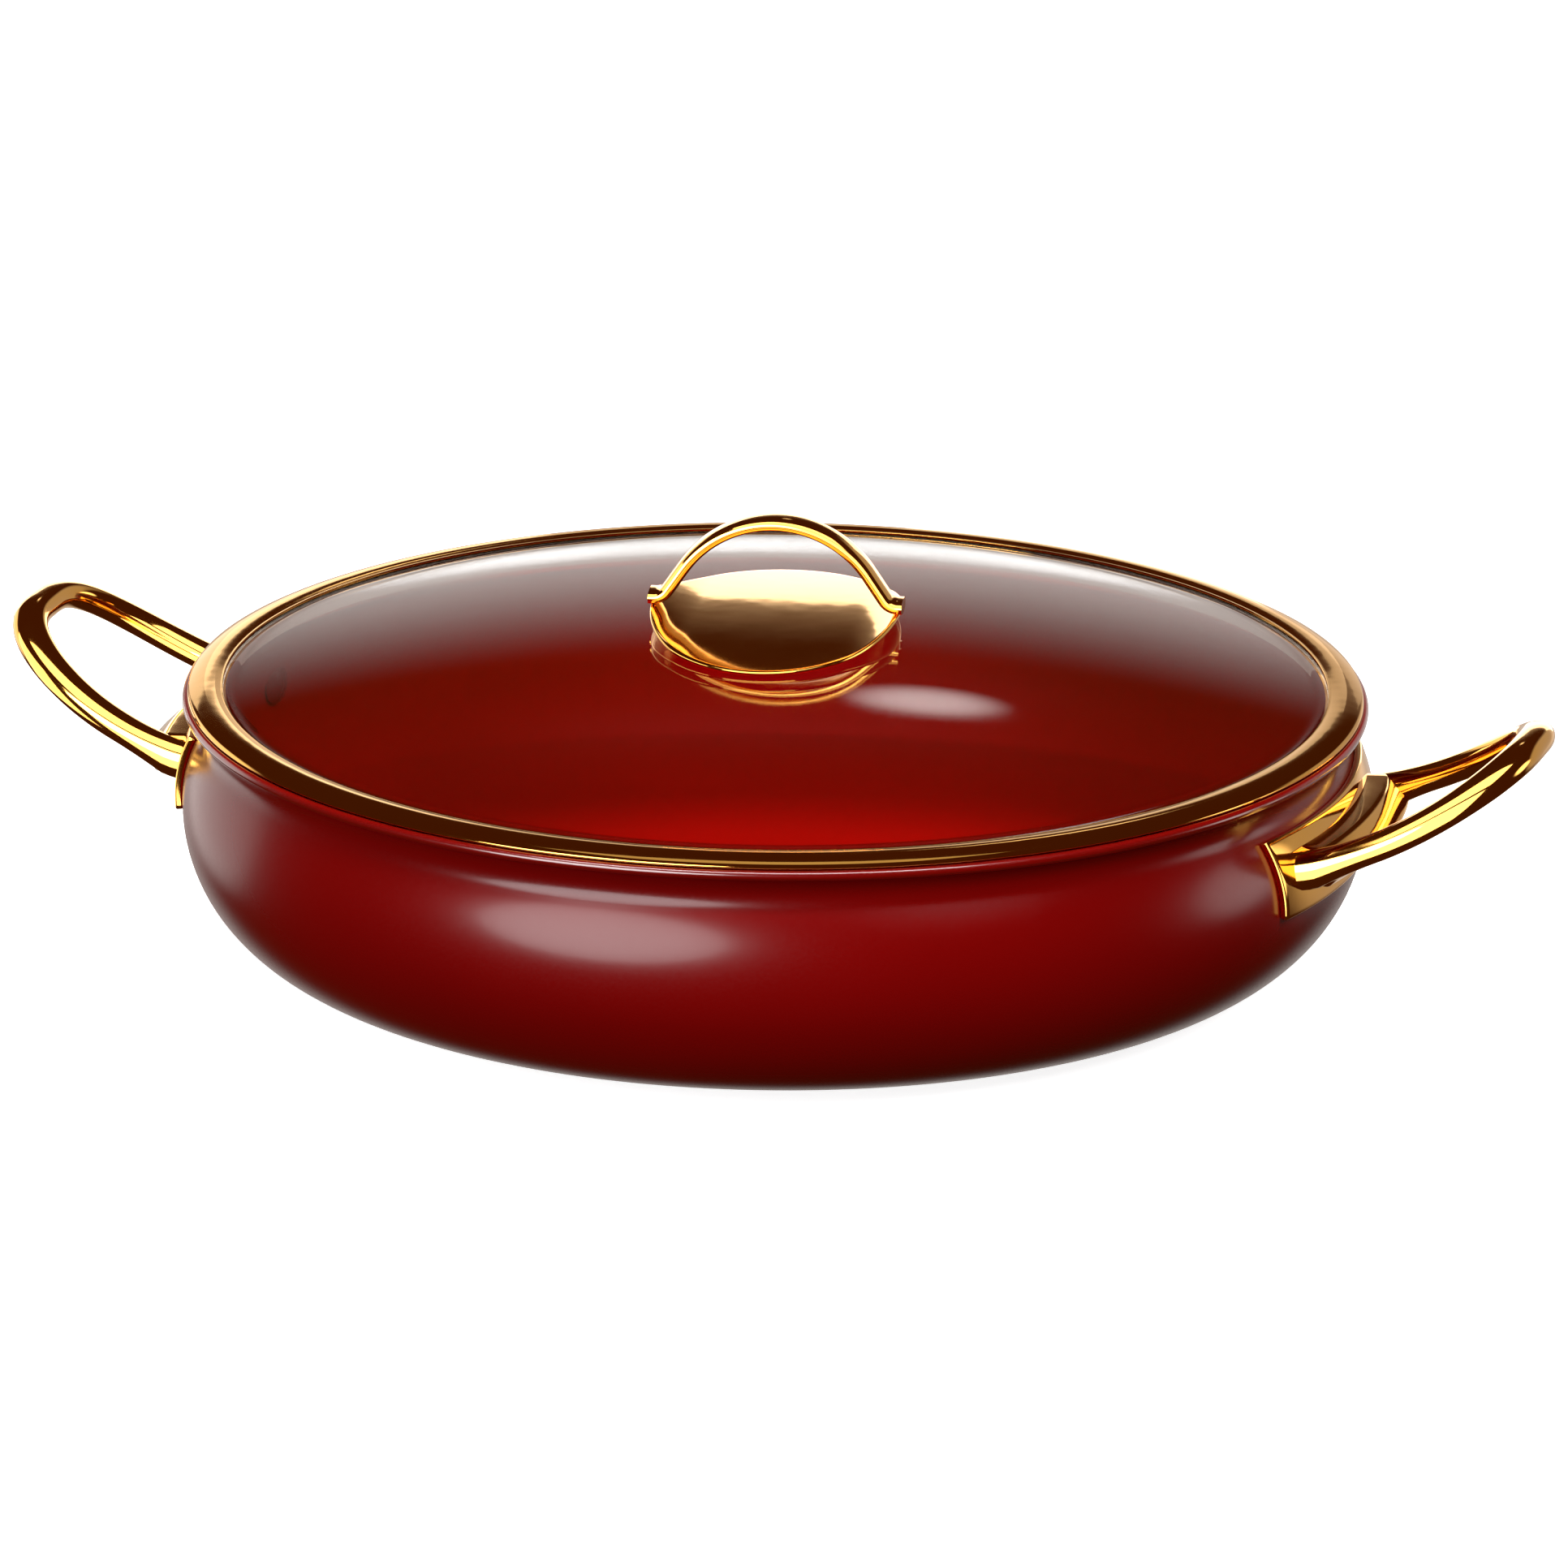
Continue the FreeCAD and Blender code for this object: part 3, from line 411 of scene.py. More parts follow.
# %% Band
SEAT = RIM_Z + ROLL + 0.2
SHEET = 0.6
LIP = MOUTH - 4.0
BAND = RIM - 1.2
SKIRT = MOUTH - 0.7
SKIRT_DEEP = 7.5
CROWN_R = 10.8
crown = (MOUTH - 0.9, SEAT - 8.2)
LIP_FOLD = 0.22
LIP_RISE = 10.34
EDGE_FOLD = 0.45
SKIRT_FOLD = 0.4


def turn_at(centre, radius, x):
    """The angle at which a circle passes a distance from the axis."""
    return math.degrees(math.acos((x - centre[0]) / radius))


def band_section():
    under_r = CROWN_R - SHEET
    under_end = crown[0] + math.sqrt(under_r ** 2 - (SEAT + SHEET - crown[1]) ** 2)
    points = arc((LIP + LIP_FOLD, crown[1] + LIP_RISE), LIP_FOLD, 200, 110, steps=4)
    points += arc(crown, CROWN_R, turn_at(crown, CROWN_R, LIP + 0.5),
                  turn_at(crown, CROWN_R, BAND - 0.35), steps=22)
    points += arc((BAND - EDGE_FOLD, SEAT + EDGE_FOLD), EDGE_FOLD, 30, -90, steps=6)
    points += arc((SKIRT + SKIRT_FOLD, SEAT - SKIRT_FOLD), SKIRT_FOLD, 90, 180, steps=4)
    points += [(SKIRT, SEAT - SKIRT_DEEP), (SKIRT - SHEET, SEAT - SKIRT_DEEP),
               (SKIRT - SHEET, SEAT + SHEET)]
    points += arc(crown, under_r, turn_at(crown, under_r, under_end), turn_at(crown, under_r, LIP),
                  steps=12)
    return points


mesh = bmesh.new()
lathe(mesh, band_section(), steps=288)
band = finish_mesh(mesh, "lid_band_gold", "lid", "lid_band", GOLD)


# %% [markdown]
# ## Glass
# The lid's dome is clear tempered glass. It is a Principled shader with full transmission. For
# shadow rays it is swapped for a transparent shader, so light falls through on to the pan inside
# and the bottom isn't left in the dark. A trace of cleaning marks varies the roughness.

# %% Glass
def clear_glass():
    """Clear glass that lets light through to what stands under it."""
    material, tree, shader = new_material("lid_glass_clear")
    shader.inputs["Base Color"].default_value = (0.96, 0.965, 0.96, 1)
    marks = noise(tree, own_place(tree), 25, detail=4, rough=0.6)
    join(tree, spread(tree, marks, 0.01, 0.035), shader.inputs["Roughness"])
    shader.inputs["IOR"].default_value = 1.5
    shader.inputs["Transmission Weight"].default_value = 1.0
    path = add(tree, "ShaderNodeLightPath")
    clear = add(tree, "ShaderNodeBsdfTransparent")
    mix = add(tree, "ShaderNodeMixShader")
    join(tree, path.outputs["Is Shadow Ray"], mix.inputs["Fac"])
    join(tree, shader.outputs["BSDF"], mix.inputs[1])
    join(tree, clear.outputs["BSDF"], mix.inputs[2])
    join(tree, mix.outputs["Shader"], tree.nodes["Material Output"].inputs["Surface"])
    return material


GLASS = clear_glass()
print("material:", GLASS.name)

# %% [markdown]
# ## Glass dome
# The dome is a slice of a big sphere, the same thickness all over, with a hole in the middle for the
# grip's stud. Its rim is eased by small chamfers, like a ground edge, and hides under the band. One
# turned section gives the top, the rim, the underside and the hole.

# %% Glass dome
glass_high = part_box("lid_glass")[1]
DOME_R = 545.0
GLASS_T = 4.0
HOLE = 5.0
EDGE_IN = 0.8
EDGE_DOWN = 0.9
DOME_STEPS = 30
GLASS_EDGE = glass_high.x / MM
dome_z = glass_high.z / MM - math.sqrt(DOME_R ** 2 - HOLE ** 2)
APEX = dome_z + DOME_R


def glass_section():
    """Out along the top, round the eased rim, and back along the underside."""
    edge = GLASS_EDGE - EDGE_IN
    outward = [HOLE + (edge - HOLE) * step / DOME_STEPS for step in range(DOME_STEPS + 1)]
    top = [(r, dome_z + math.sqrt(DOME_R ** 2 - r ** 2)) for r in outward]
    under = [(r, dome_z + math.sqrt((DOME_R - GLASS_T) ** 2 - r ** 2)) for r in outward[::-1]]
    rim = [(GLASS_EDGE, top[-1][1] - EDGE_DOWN), (GLASS_EDGE, under[0][1] + EDGE_DOWN)]
    return top + rim + under


mesh = bmesh.new()
lathe(mesh, glass_section(), steps=240)
dome = finish_mesh(mesh, "lid_glass_dome", "lid", "lid_glass", GLASS)


# %% [markdown]
# ## Bent bars
# The side loops and the grip are bars bent to shape. A circle is squared a little to give the bar's
# section. It is put at the start of the bar's middle line and extruded from place to place along it.
# Each place is a matrix that also says how the section is turned and how wide and high it is.

# %% Sweep a bar
def squared_circle(mesh, squareness, segments=28):
    """A ring between a circle, at 2, and a square, at a large number."""
    ring = bmesh.ops.create_circle(mesh, segments=segments, radius=1)["verts"]
    power = 2 / squareness
    for vert in ring:
        angle = math.atan2(vert.co.y, vert.co.x)
        vert.co.x = math.copysign(abs(math.cos(angle)) ** power, math.cos(angle))
        vert.co.y = math.copysign(abs(math.sin(angle)) ** power, math.sin(angle))
    return ring


def sweep(mesh, frames, squareness):
    """Pulls the ring from matrix to matrix and closes both ends."""
    ring = squared_circle(mesh, squareness)
    edges = list({edge for vert in ring for edge in vert.link_edges})
    bmesh.ops.transform(mesh, matrix=frames[0], verts=ring)
    bmesh.ops.contextual_create(mesh, geom=edges)
    for before, after in zip(frames, frames[1:]):
        made = bmesh.ops.extrude_edge_only(mesh, edges=edges)["geom"]
        ring = [part for part in made if isinstance(part, bmesh.types.BMVert)]
        edges = [part for part in made if isinstance(part, bmesh.types.BMEdge)
                 and all(vert in ring for vert in part.verts)]
        bmesh.ops.transform(mesh, matrix=after @ before.inverted(), verts=ring)
    bmesh.ops.contextual_create(mesh, geom=edges)


def section_frame(centre, side, up, half_wide, half_high):
    """The matrix that puts the ring at a place, square to the middle line; sizes in millimetres."""
    along = side.cross(up)
    matrix = Matrix((side * half_wide * MM, up * half_high * MM, along * MM)).transposed().to_4x4()
    matrix.translation = centre
    return matrix


print("sweeping helpers ready")

# %% [markdown]
# ## Side loops
# The loops are cast bars that start at the wall, run out and bend round to the other leg, rising as
# they go, so a hand fits under them. A squared ellipse gives the loop its nearly straight sides and
# round tip. Near the wall the bar gets deeper, as a casting does where it carries the load.

# %% Side loops
SPREAD = 66.0
REACH = 54.6
ROOT_IN = 9.6
ROOT_DOWN = 19.7
RISE = 25.8
BEND = 1.7
SQUARE = 2.9
BAR_WIDE = 8.8
BAR_HIGH = 7.0
ROOT_DEEP = 2.6
ROOT_LONG = 14.0
FIRST_TURN = 0.035
SMALL_TURN = 0.004
LOOP_STEPS = 120


def loop_centre(turned, hand):
    """The middle line, from one root at 0 to the other at half a turn."""
    out = abs(math.sin(turned)) ** (2 / SQUARE)
    across = math.copysign(abs(math.cos(turned)) ** (2 / SQUARE), math.cos(turned))
    return Vector((hand * (RIM - ROOT_IN + REACH * out), -SPREAD / 2 * across,
                   RIM_Z - ROOT_DOWN + RISE * out ** BEND)) * MM


def loop_frame(turned, hand):
    """Where the bar is at one turn of the loop, and how deep."""
    centre = loop_centre(turned, hand)
    along = loop_centre(turned + SMALL_TURN, hand) - loop_centre(turned - SMALL_TURN, hand)
    along.normalize()
    up = (upward - along * along.z).normalized()
    past_wall = max((abs(centre.x) / MM - RIM) / ROOT_LONG, 0)
    deeper = ROOT_DEEP * max(0, 1 - past_wall) ** 2
    centre = centre - up * deeper / 2 * MM
    return section_frame(centre, along.cross(up), up, BAR_WIDE / 2, (BAR_HIGH + deeper) / 2)


for hand, side_name in ((1, "right"), (-1, "left")):
    turns = [FIRST_TURN + (math.pi - 2 * FIRST_TURN) * step / LOOP_STEPS
             for step in range(LOOP_STEPS + 1)]
    mesh = bmesh.new()
    sweep(mesh, [loop_frame(turned, hand) for turned in turns], squareness=2.3)
    finish_mesh(mesh, "loop_" + side_name, "pot", "handle_loop_" + side_name, GOLD, sharp=60)


# %% [markdown]
# ## Sheet on the wall
# Each loop is welded to a plate that hugs the wall. A flat grid is laid on the wall's curve, and the
# solidify operator gives it a thickness outwards. The edges of any real sheet are broken, so a small
# bevel goes round every sharp edge. The bevel helper serves the lid's plate too.

# %% Pads for the loops
PAD_THICK = 2.0
PAD_LIFT = 0.05
PAD_TOP = 11.0
PAD_FOOT = 30.5
PAD_HALF_TOP = 44.5
PAD_HALF_FOOT = 41.0


def wall_x(z):
    """Outside of the wall at a height, by the shoulder's or the corner's circle."""
    radius, centre = (SHOULDER_R, shoulder) if z > BELLY_Z else (corner_r, corner)
    return centre[0] + math.sqrt(radius ** 2 - (z - centre[1]) ** 2)


def break_edges(mesh, sharper_than, offset, segments=3):
    """Bevels every edge that is sharper than an angle, by an offset in millimetres."""
    edges = [edge for edge in mesh.edges
             if edge.is_manifold and edge.calc_face_angle() > sharper_than]
    bmesh.ops.bevel(mesh, geom=edges, offset=offset * MM, offset_type="OFFSET", segments=segments,
                    profile=0.5, affect="EDGES", clamp_overlap=True, material=-1)


def pad(mesh, hand):
    """A grid laid on the wall, given its thickness outwards."""
    grid = bmesh.ops.create_grid(mesh, x_segments=60, y_segments=16, size=0.5)["verts"]
    for vert in grid:
        share = vert.co.y + 0.5
        z = RIM_Z - PAD_FOOT + share * (PAD_FOOT - PAD_TOP)
        y = vert.co.x * 2 * (PAD_HALF_FOOT + (PAD_HALF_TOP - PAD_HALF_FOOT) * share)
        x = math.sqrt((wall_x(z) + PAD_LIFT) ** 2 - y ** 2)
        vert.co = Vector((hand * x, y, z)) * MM
    bmesh.ops.recalc_face_normals(mesh, faces=mesh.faces)
    mesh.faces.ensure_lookup_table()
    if mesh.faces[0].normal.x * hand < 0:
        bmesh.ops.reverse_faces(mesh, faces=mesh.faces)
    bmesh.ops.solidify(mesh, geom=list(mesh.faces), thickness=-PAD_THICK * MM)
    break_edges(mesh, sharper_than=1.0, offset=0.5)


print("pad %.0f mm wide at the top" % (2 * PAD_HALF_TOP))

# %% [markdown]
# ## Root bars
# A short bar joins the two legs of a loop and gives the plate its strength. Its section has five
# sides, with a ridge that points outwards. The section is turned through a short angle about the
# pan's axis, so the bar follows the wall, and its ridges are rounded by a bevel.

# %% Handle plates
ROOT_TOP = 14.5
ROOT_RIDGE = 20.0
ROOT_FOOT = 24.0
ROOT_START = 1.0
ROOT_OUT = 7.5
RIDGE_OUT = 11.0
LEG_OUT = 5.5


def root_bar(mesh, hand):
    """The bar between the loop's two legs: a short turn of a five-sided section."""
    top, ridge, foot = RIM_Z - ROOT_TOP, RIM_Z - ROOT_RIDGE, RIM_Z - ROOT_FOOT
    points = [(wall_x(foot) + ROOT_START, foot), (wall_x(foot) + ROOT_OUT, foot),
              (RIM + RIDGE_OUT, ridge),
              (wall_x(top) + ROOT_OUT, top), (wall_x(top) + ROOT_START, top)]
    half_turn = math.asin(SPREAD / 2 / (RIM + LEG_OUT))
    first = -half_turn + (math.pi if hand < 0 else 0)
    verts, edges = draw_section(mesh, points)
    face = bmesh.ops.contextual_create(mesh, geom=edges)["faces"]
    bmesh.ops.rotate(mesh, verts=verts, cent=(0, 0, 0), matrix=Matrix.Rotation(first, 3, "Z"))
    bmesh.ops.spin(mesh, geom=face, axis=(0, 0, 1), cent=(0, 0, 0), angle=2 * half_turn, steps=24,
                   use_duplicate=False)
    break_edges(mesh, sharper_than=0.25, offset=0.9, segments=4)


def add_copy(mesh, other):
    """Puts a finished bmesh into another one."""
    data = bpy.data.meshes.new("part")
    other.to_mesh(data)
    other.free()
    mesh.from_mesh(data)
    bpy.data.meshes.remove(data)


for hand, side_name in ((1, "right"), (-1, "left")):
    mesh = bmesh.new()
    root_bar(mesh, hand)
    sheet = bmesh.new()
    pad(sheet, hand)
    add_copy(mesh, sheet)
    finish_mesh(mesh, "plate_" + side_name, "pot", "handle_plate_" + side_name, GOLD, sharp=40)

# %% [markdown]
# ## Lid plate
# The grip stands on an oval plate that is curled up a little at its two sides. A disc of many rings
# is stretched to the oval and bent by a formula, which is easier to keep smooth than bending by hand.
# Then it is given its thickness and a rounded edge, and it is turned with the grip.

# %% Lid plate
LID_TURN = Matrix.Rotation(math.radians(9.5), 4, "Z")
PLATE_WIDE = 31.0
PLATE_LONG = 44.5
PLATE_T = 1.0
PLATE_LIFT = 0.5
CURL_FROM = 20.0
CURL_R = 26.0
PLATE_RINGS = 28


def curl(x):
    """How far the sheet has risen at a distance from the middle line."""
    over = max(abs(x) - CURL_FROM, 0)
    return CURL_R - math.sqrt(CURL_R ** 2 - over ** 2)


def lid_plate(mesh):
    """An oval sheet that lies on the dome and curls up at its sides."""
    lathe(mesh, [(ring / PLATE_RINGS, 0) for ring in range(PLATE_RINGS + 1)], steps=120, closed=False)
    bmesh.ops.remove_doubles(mesh, verts=mesh.verts, dist=1e-7)
    bend = DOME_R + PLATE_LIFT
    for vert in mesh.verts:
        x, y = vert.co.x / MM * PLATE_WIDE, vert.co.y / MM * PLATE_LONG
        z = APEX + PLATE_LIFT - bend + math.sqrt(bend ** 2 - y ** 2) + curl(x)
        vert.co = Vector((x, y, z)) * MM
    bmesh.ops.recalc_face_normals(mesh, faces=mesh.faces)
    mesh.faces.ensure_lookup_table()
    if mesh.faces[0].normal.z < 0:
        bmesh.ops.reverse_faces(mesh, faces=mesh.faces)
    bmesh.ops.solidify(mesh, geom=list(mesh.faces), thickness=-PLATE_T * MM)
    break_edges(mesh, sharper_than=1.0, offset=0.3)
    bmesh.ops.transform(mesh, matrix=LID_TURN, verts=mesh.verts)


mesh = bmesh.new()
lid_plate(mesh)
grip_plate = finish_mesh(mesh, "grip_plate", "lid", "lid_plate", GOLD, sharp=50)

# %% [markdown]
# ## The grip's middle line
# A thick rounded strap arches over the plate, and its feet curl out on to the plate's sides. Half of
# its middle line is a large arc from the top, a straight run and a small arc the other way. The large
# arc's radius is worked out, so that the feet land on the plate whatever its width.

# %% The grip's middle line
grip_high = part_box("lid_grip")[1]
GRIP_SLOPE = math.radians(56)
FOOT_R = 4.0
FOOT_X = PLATE_WIDE - 0.8
FOOT_FLAT = 1.2
STRAP_WIDE = 9.0
STRAP_T = 3.4
GRIP_HEIGHT = 19.9
ARC_STEPS = 24
RUN_STEPS = 4
FOOT_STEPS = 8
GRIP_TOP = grip_high.z / MM - STRAP_T / 2
GRIP_R = (FOOT_X - GRIP_HEIGHT / math.tan(GRIP_SLOPE)) / math.tan(GRIP_SLOPE / 2) - FOOT_R
foot_z = GRIP_TOP - GRIP_HEIGHT


def half_arch():
    """The strap's middle line from the top to one foot: an arc, a straight run, a small arc."""
    run = (GRIP_HEIGHT - (GRIP_R + FOOT_R) * (1 - math.cos(GRIP_SLOPE))) / math.sin(GRIP_SLOPE)
    foot_x = (GRIP_R + FOOT_R) * math.sin(GRIP_SLOPE) + run * math.cos(GRIP_SLOPE)
    points = [(GRIP_R * math.sin(a), GRIP_TOP - GRIP_R + GRIP_R * math.cos(a))
              for a in (GRIP_SLOPE * step / ARC_STEPS for step in range(ARC_STEPS + 1))]
    x, z = points[-1]
    points += [(x + part * math.cos(GRIP_SLOPE), z - part * math.sin(GRIP_SLOPE))
               for part in (run * step / RUN_STEPS for step in range(1, RUN_STEPS + 1))]
    points += [(foot_x - FOOT_R * math.sin(a), foot_z + FOOT_R - FOOT_R * math.cos(a))
               for a in (GRIP_SLOPE * (1 - step / FOOT_STEPS) for step in range(1, FOOT_STEPS + 1))]
    points.append((foot_x + FOOT_FLAT, foot_z))
    return points


print("arch radius %.2f mm, feet at %.2f mm" % (GRIP_R, foot_z))


# %% [markdown]
# ## Grip
# The strap is the same kind of bent bar as the loops, only flatter, so the sweep serves again. The
# other half of the line is a mirror image. The whole grip is turned with its plate, a little off the
# line of the side loops, as a lid comes to rest when it is put down.

# %% Grip
def grip_frames():
    """The strap's places from foot to foot."""
    right = half_arch()
    line = [(-x, z) for x, z in reversed(right)] + right[1:]
    side = Vector((0, 1, 0))
    frames = []
    for here, (x, z) in enumerate(line):
        before, after = line[max(here - 1, 0)], line[min(here + 1, len(line) - 1)]
        along = Vector((after[0] - before[0], 0, after[1] - before[1])).normalized()
        frames.append(LID_TURN @ section_frame(Vector((x, 0, z)) * MM, side, along.cross(side),
                                               STRAP_WIDE / 2, STRAP_T / 2))
    return frames


mesh = bmesh.new()
sweep(mesh, grip_frames(), squareness=2.8)
finish_mesh(mesh, "grip_arch", "lid", "lid_grip", GOLD, sharp=60)


# %% [markdown]
# ## Silicone and bright steel
# The seal and the gaskets are matt silicone, and the screw, washer and stud are bright steel. Both are
# one colour with a fine grain in it, so one helper makes them: the grain varies the colour and the
# roughness together, as wear and dust do.

# %% Silicone and bright steel
def plain_finish(name, colour, metallic, low, high, scale):
    """One colour with a fine grain; roughness from low to high."""
    material, tree, shader = new_material(name)
    grain = noise(tree, own_place(tree), scale)
    join(tree, two_colours(tree, grain, colour, tuple(c * 0.85 for c in colour)),
         shader.inputs["Base Color"])
    join(tree, spread(tree, grain, low, high), shader.inputs["Roughness"])
    shader.inputs["Metallic"].default_value = metallic
    relief(tree, shader, grain, 0.00002)
    return material


SILICONE = plain_finish("silicone", (0.42, 0.36, 0.3), metallic=0.0, low=0.45, high=0.6, scale=300)
STEEL = plain_finish("bright_steel", (0.66, 0.65, 0.63), metallic=1.0, low=0.15, high=0.28, scale=400)
print("materials:", SILICONE.name, STEEL.name)


# %% [markdown]
# ## Brushed steel
# The disc under the pan spreads the heat. It is brushed on a turntable, so its fine grooves are
# circles. A wave texture in rings makes them, in the roughness and in a very low bump, and a cloudy
# stain keeps the steel from looking new out of the box.

# %% Brushed steel
def ring_brushed_steel():
    """Steel with fine grooves in circles about the Z axis."""
    material, tree, shader = new_material("ring_brushed_steel")
    place = own_place(tree)
    wave = add(tree, "ShaderNodeTexWave", wave_type="RINGS", rings_direction="Z", Scale=900,
               Distortion=2.0, Detail=3.0)
    join(tree, place, wave.inputs["Vector"])
    grooves = wave.outputs["Fac"]
    stain = noise(tree, place, 40)
    join(tree, two_colours(tree, stain, (0.5, 0.49, 0.47), (0.58, 0.57, 0.55)),
         shader.inputs["Base Color"])
    join(tree, spread(tree, grooves, 0.25, 0.4, start=0, end=1), shader.inputs["Roughness"])
    shader.inputs["Metallic"].default_value = 1.0
    relief(tree, shader, grooves, 0.00002)
    return material


BRUSHED = ring_brushed_steel()
print("material:", BRUSHED.name)

# %% [markdown]
# ## Parts kept from the CAD
# The rivets, the seal, the clamp's small parts and the disc are plain turned shapes, and most of each
# is hidden. Their CAD meshes serve as they are and only need a finish. The rivets' heads are inside
# the pan and are lacquered with it.

# %% Parts kept from the CAD
FINISHES = {RED: ("handle_rivets_right", "handle_rivets_left"),
            SILICONE: ("lid_band_seal", "lid_gasket_upper", "lid_gasket_lower"),
            STEEL: ("lid_stud", "lid_washer", "lid_screw"),
            BRUSHED: ("base_disc",)}
for material, nodes in FINISHES.items():
    for node in nodes:
        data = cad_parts[node].data
        data.materials.clear()
        data.materials.append(material)
    print("%-20s on %s" % (material.name, ", ".join(nodes)))

# %% [markdown]
# ## Floor
# The pan stands on plain white paper. It shines a little by itself, so it stays white and only a
# breath of shadow shows. It is hidden from reflections, so the studio's dark walls show in them.

# %% Floor
FLOOR_R = 14
material, _, shader = new_material("floor_paper")
shader.inputs["Base Color"].default_value = (0.75, 0.75, 0.75, 1)
shader.inputs["Roughness"].default_value = 0.9
shader.inputs["Emission Color"].default_value = (1, 1, 1, 1)
shader.inputs["Emission Strength"].default_value = 0.85
mesh = bmesh.new()
bmesh.ops.create_circle(mesh, cap_ends=True, segments=64, radius=FLOOR_R)
floor_data = bpy.data.meshes.new("floor")
mesh.to_mesh(floor_data)
mesh.free()
floor_data.materials.append(material)
floor = bpy.data.objects.new("floor", floor_data)
bpy.context.collection.objects.link(floor)
floor.visible_glossy = False
floor.visible_diffuse = False
floor.visible_shadow = False
print("floor %.0f m across" % (2 * FLOOR_R))


# %% [markdown]
# ## Directions in the studio
# In a studio a light's place is given as so many degrees round from the camera and so many degrees
# up. This helper turns those two numbers into a direction from the pan.

# %% Directions in the studio
def heading(side, up):
    """A direction by degrees right of the camera's side and degrees above the horizon."""
    side, up = math.radians(side), math.radians(up)
    level = rightward * math.sin(side) + toward * math.cos(side)
    return level * math.cos(up) + upward * math.sin(up)


print("heading to the camera:", [round(part, 2) for part in heading(0, math.degrees(VIEW_UP))])


# %% [markdown]
# ## Studio walls
# Polished metal and glass show the room. This room is dark brown with a few soft pale patches: one
# behind on each side for the streaks on the pan's flanks, one to the right, one low behind that
# greys the far side of the glass, and a small lamp behind that leaves a soft spot on the dome. Each
# patch is a dot product with its direction, faded out between two angles.

# %% Studio walls
def patch(tree, where, direction, start, end, strength):
    """A soft round patch: none at the start angle, full inside the end angle."""
    dot = add(tree, "ShaderNodeVectorMath", operation="DOT_PRODUCT")
    dot.inputs[1].default_value = direction
    join(tree, where, dot.inputs[0])
    fade = add(tree, "ShaderNodeMapRange", interpolation_type="SMOOTHSTEP",
               From_Min=math.cos(math.radians(start)), From_Max=math.cos(math.radians(end)),
               To_Max=strength)
    join(tree, dot.outputs["Value"], fade.inputs["Value"])
    return fade.outputs["Result"]


def studio_walls(patches, dark, pale=(1.0, 0.97, 0.93)):
    """Dark walls all round, with pale patches added on top."""
    world = bpy.data.worlds.new("studio")
    bpy.context.scene.world = world
    world.use_nodes = True
    tree = world.node_tree
    where = add(tree, "ShaderNodeTexCoord").outputs["Generated"]
    total = patch(tree, where, *patches[0])
    for one in patches[1:]:
        plus = add(tree, "ShaderNodeMath", operation="ADD")
        join(tree, total, plus.inputs[0])
        join(tree, patch(tree, where, *one), plus.inputs[1])
        total = plus.outputs["Value"]
    scaled = add(tree, "ShaderNodeVectorMath", operation="SCALE")
    scaled.inputs[0].default_value = pale
    join(tree, total, scaled.inputs["Scale"])
    colour = add(tree, "ShaderNodeVectorMath", operation="ADD")
    colour.inputs[1].default_value = dark
    join(tree, scaled.outputs["Vector"], colour.inputs[0])
    join(tree, colour.outputs["Vector"], tree.nodes["Background"].inputs["Color"])


REAR_LEFT = (heading(-139, 0), 25, 17, 1.3)
REAR_RIGHT = (heading(137, 0), 29, 20, 0.4)
SIDE_RIGHT = (heading(101, 0), 16, 8, 2.4)
LOW_BEHIND = (heading(180, -14), 36, 12, 0.55)
SMALL_LAMP = (heading(176, 28), 2.2, 0.1, 1.5)
PATCHES = [REAR_LEFT, REAR_RIGHT, SIDE_RIGHT, LOW_BEHIND, SMALL_LAMP]
studio_walls(PATCHES, dark=(0.05, 0.014, 0.002))
print("patches on the walls:", len(PATCHES))


# %% [markdown]
# ## Panels
# A softbox is a flat panel of light. Its brightness is kept apart from its size here, because that is
# what a reflection shows: a bigger panel of the same brightness gives a larger highlight, not a
# whiter one. The camera sees none of them. A fill panel only lights matt surfaces and stays out of
# reflections. Light linking limits a panel to some pieces, as a black flag does in a real studio.

# %% Panels and flags
def panel(name, direction, away, wide, high, bright, glossy=True, only=None, shape="RECTANGLE"):
    """A flat soft light aimed at the pan; only limits it to a few pieces, as a flag would."""
    data = bpy.data.lights.new(name, "AREA")
    data.shape = shape
    data.size, data.size_y = wide, high
    data.energy = bright * math.pi * wide * high
    light = bpy.data.objects.new(name, data)
    bpy.context.collection.objects.link(light)
    light.location = direction * away
    light.rotation_euler = (-direction).to_track_quat("-Z", "Y").to_euler()
    light.visible_camera = False
    light.visible_glossy = glossy
    light.visible_transmission = glossy
    if only is not None:
        light.light_linking.receiver_collection = only
    print("%-10s %.1f m away" % (name, away))


def pieces_only(name, *pieces):
    """A group of pieces for light linking."""
    group = bpy.data.collections.new(name)
    for piece in pieces:
        group.objects.link(piece)
    return group


def all_but(name, *pieces):
    """A group that stands for everything except these pieces."""
    group = pieces_only(name, *pieces)
    for link in group.collection_objects:
        link.light_linking.link_state = "EXCLUDE"
    return group


print("panel helpers ready")

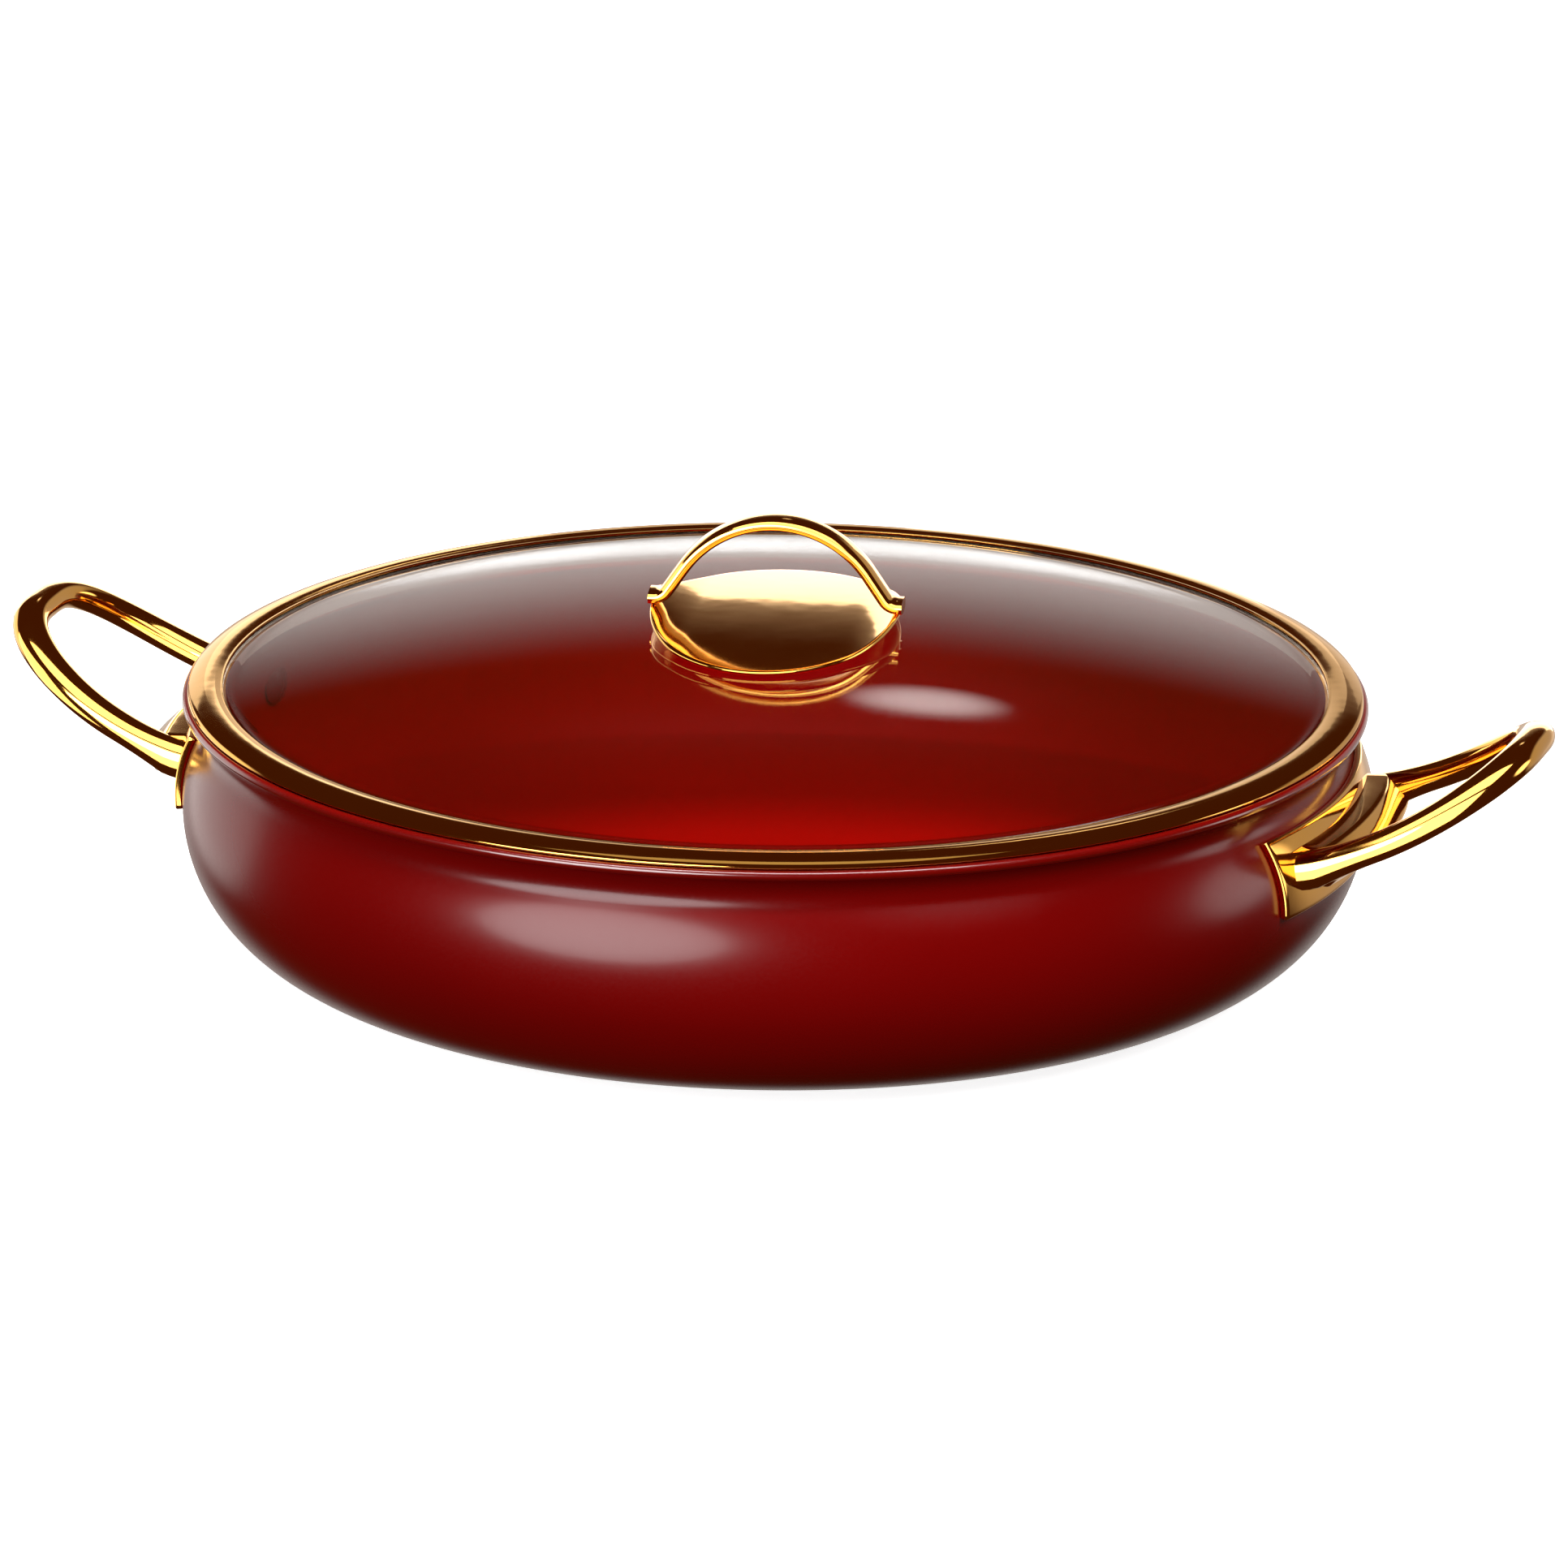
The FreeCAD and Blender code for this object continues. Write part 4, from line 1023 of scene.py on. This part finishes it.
# %% [markdown]
# ## Softbox and fill
# The softbox at the front left makes the large soft highlight on the belly. It is flagged off the
# glass and the lid's plate, which would mirror it in a view from behind. A narrow strip above draws
# the line on the rolled rim. Two fill panels lift the red outside at the right and inside the pan.

# %% Softbox and fill
pan_alone = pieces_only("pan_alone", pan)
not_lid_top = all_but("all_but_lid_top", dome, grip_plate)
panel("softbox", heading(-32.5, 12), away=2.5, wide=2.2, high=1.6, bright=6.2, only=not_lid_top,
      shape="ELLIPSE")
panel("over_front", heading(-5, 66), away=2.8, wide=3.2, high=0.3, bright=22, only=pan_alone)
panel("fill_right", heading(40, 38), away=4.0, wide=1.5, high=1.5, bright=16, glossy=False)
panel("over_back", heading(180, 62), away=5.0, wide=2.0, high=2.0, bright=36, glossy=False)

# %% [markdown]
# ## Panels for the gold
# Gold in a dark room looks brown, so the handles and the grip have pale panels of their own in front,
# above, behind and to the left. The band gets another set, low in brightness, so that its front stays
# dark and its left side glows.

# %% Panels for the gold
gold_names = ("loop_right", "loop_left", "plate_right", "plate_left", "grip_plate", "grip_arch")
fittings = pieces_only("handles_and_grip", *[bpy.data.objects[name] for name in gold_names])
panel("gold_back", heading(180, 6), away=2.0, wide=2.0, high=0.75, bright=2.0, only=fittings)
panel("gold_front", heading(-8, 0), away=1.7, wide=3.4, high=2.6, bright=3.0, only=fittings)
panel("gold_left", heading(-95, -5), away=1.8, wide=1.6, high=1.8, bright=2.4, only=fittings)
panel("gold_top", heading(0, 72), away=1.8, wide=2.4, high=1.7, bright=2.8, only=fittings)
band_alone = pieces_only("band_alone", band)
panel("band_both", heading(180, 15), away=1.8, wide=0.7, high=0.32, bright=0.4, only=band_alone)
panel("band_left", heading(-167, 11), away=1.8, wide=0.6, high=0.5, bright=0.85, only=band_alone)
panel("band_right", heading(167, 9), away=1.8, wide=0.5, high=0.4, bright=0.25, only=band_alone)
panel("band_top", heading(180, 87), away=1.8, wide=1.1, high=1.0, bright=0.45, only=band_alone)
panel("band_back", heading(174.5, 0), away=1.8, wide=0.22, high=0.57, bright=0.9, only=band_alone)
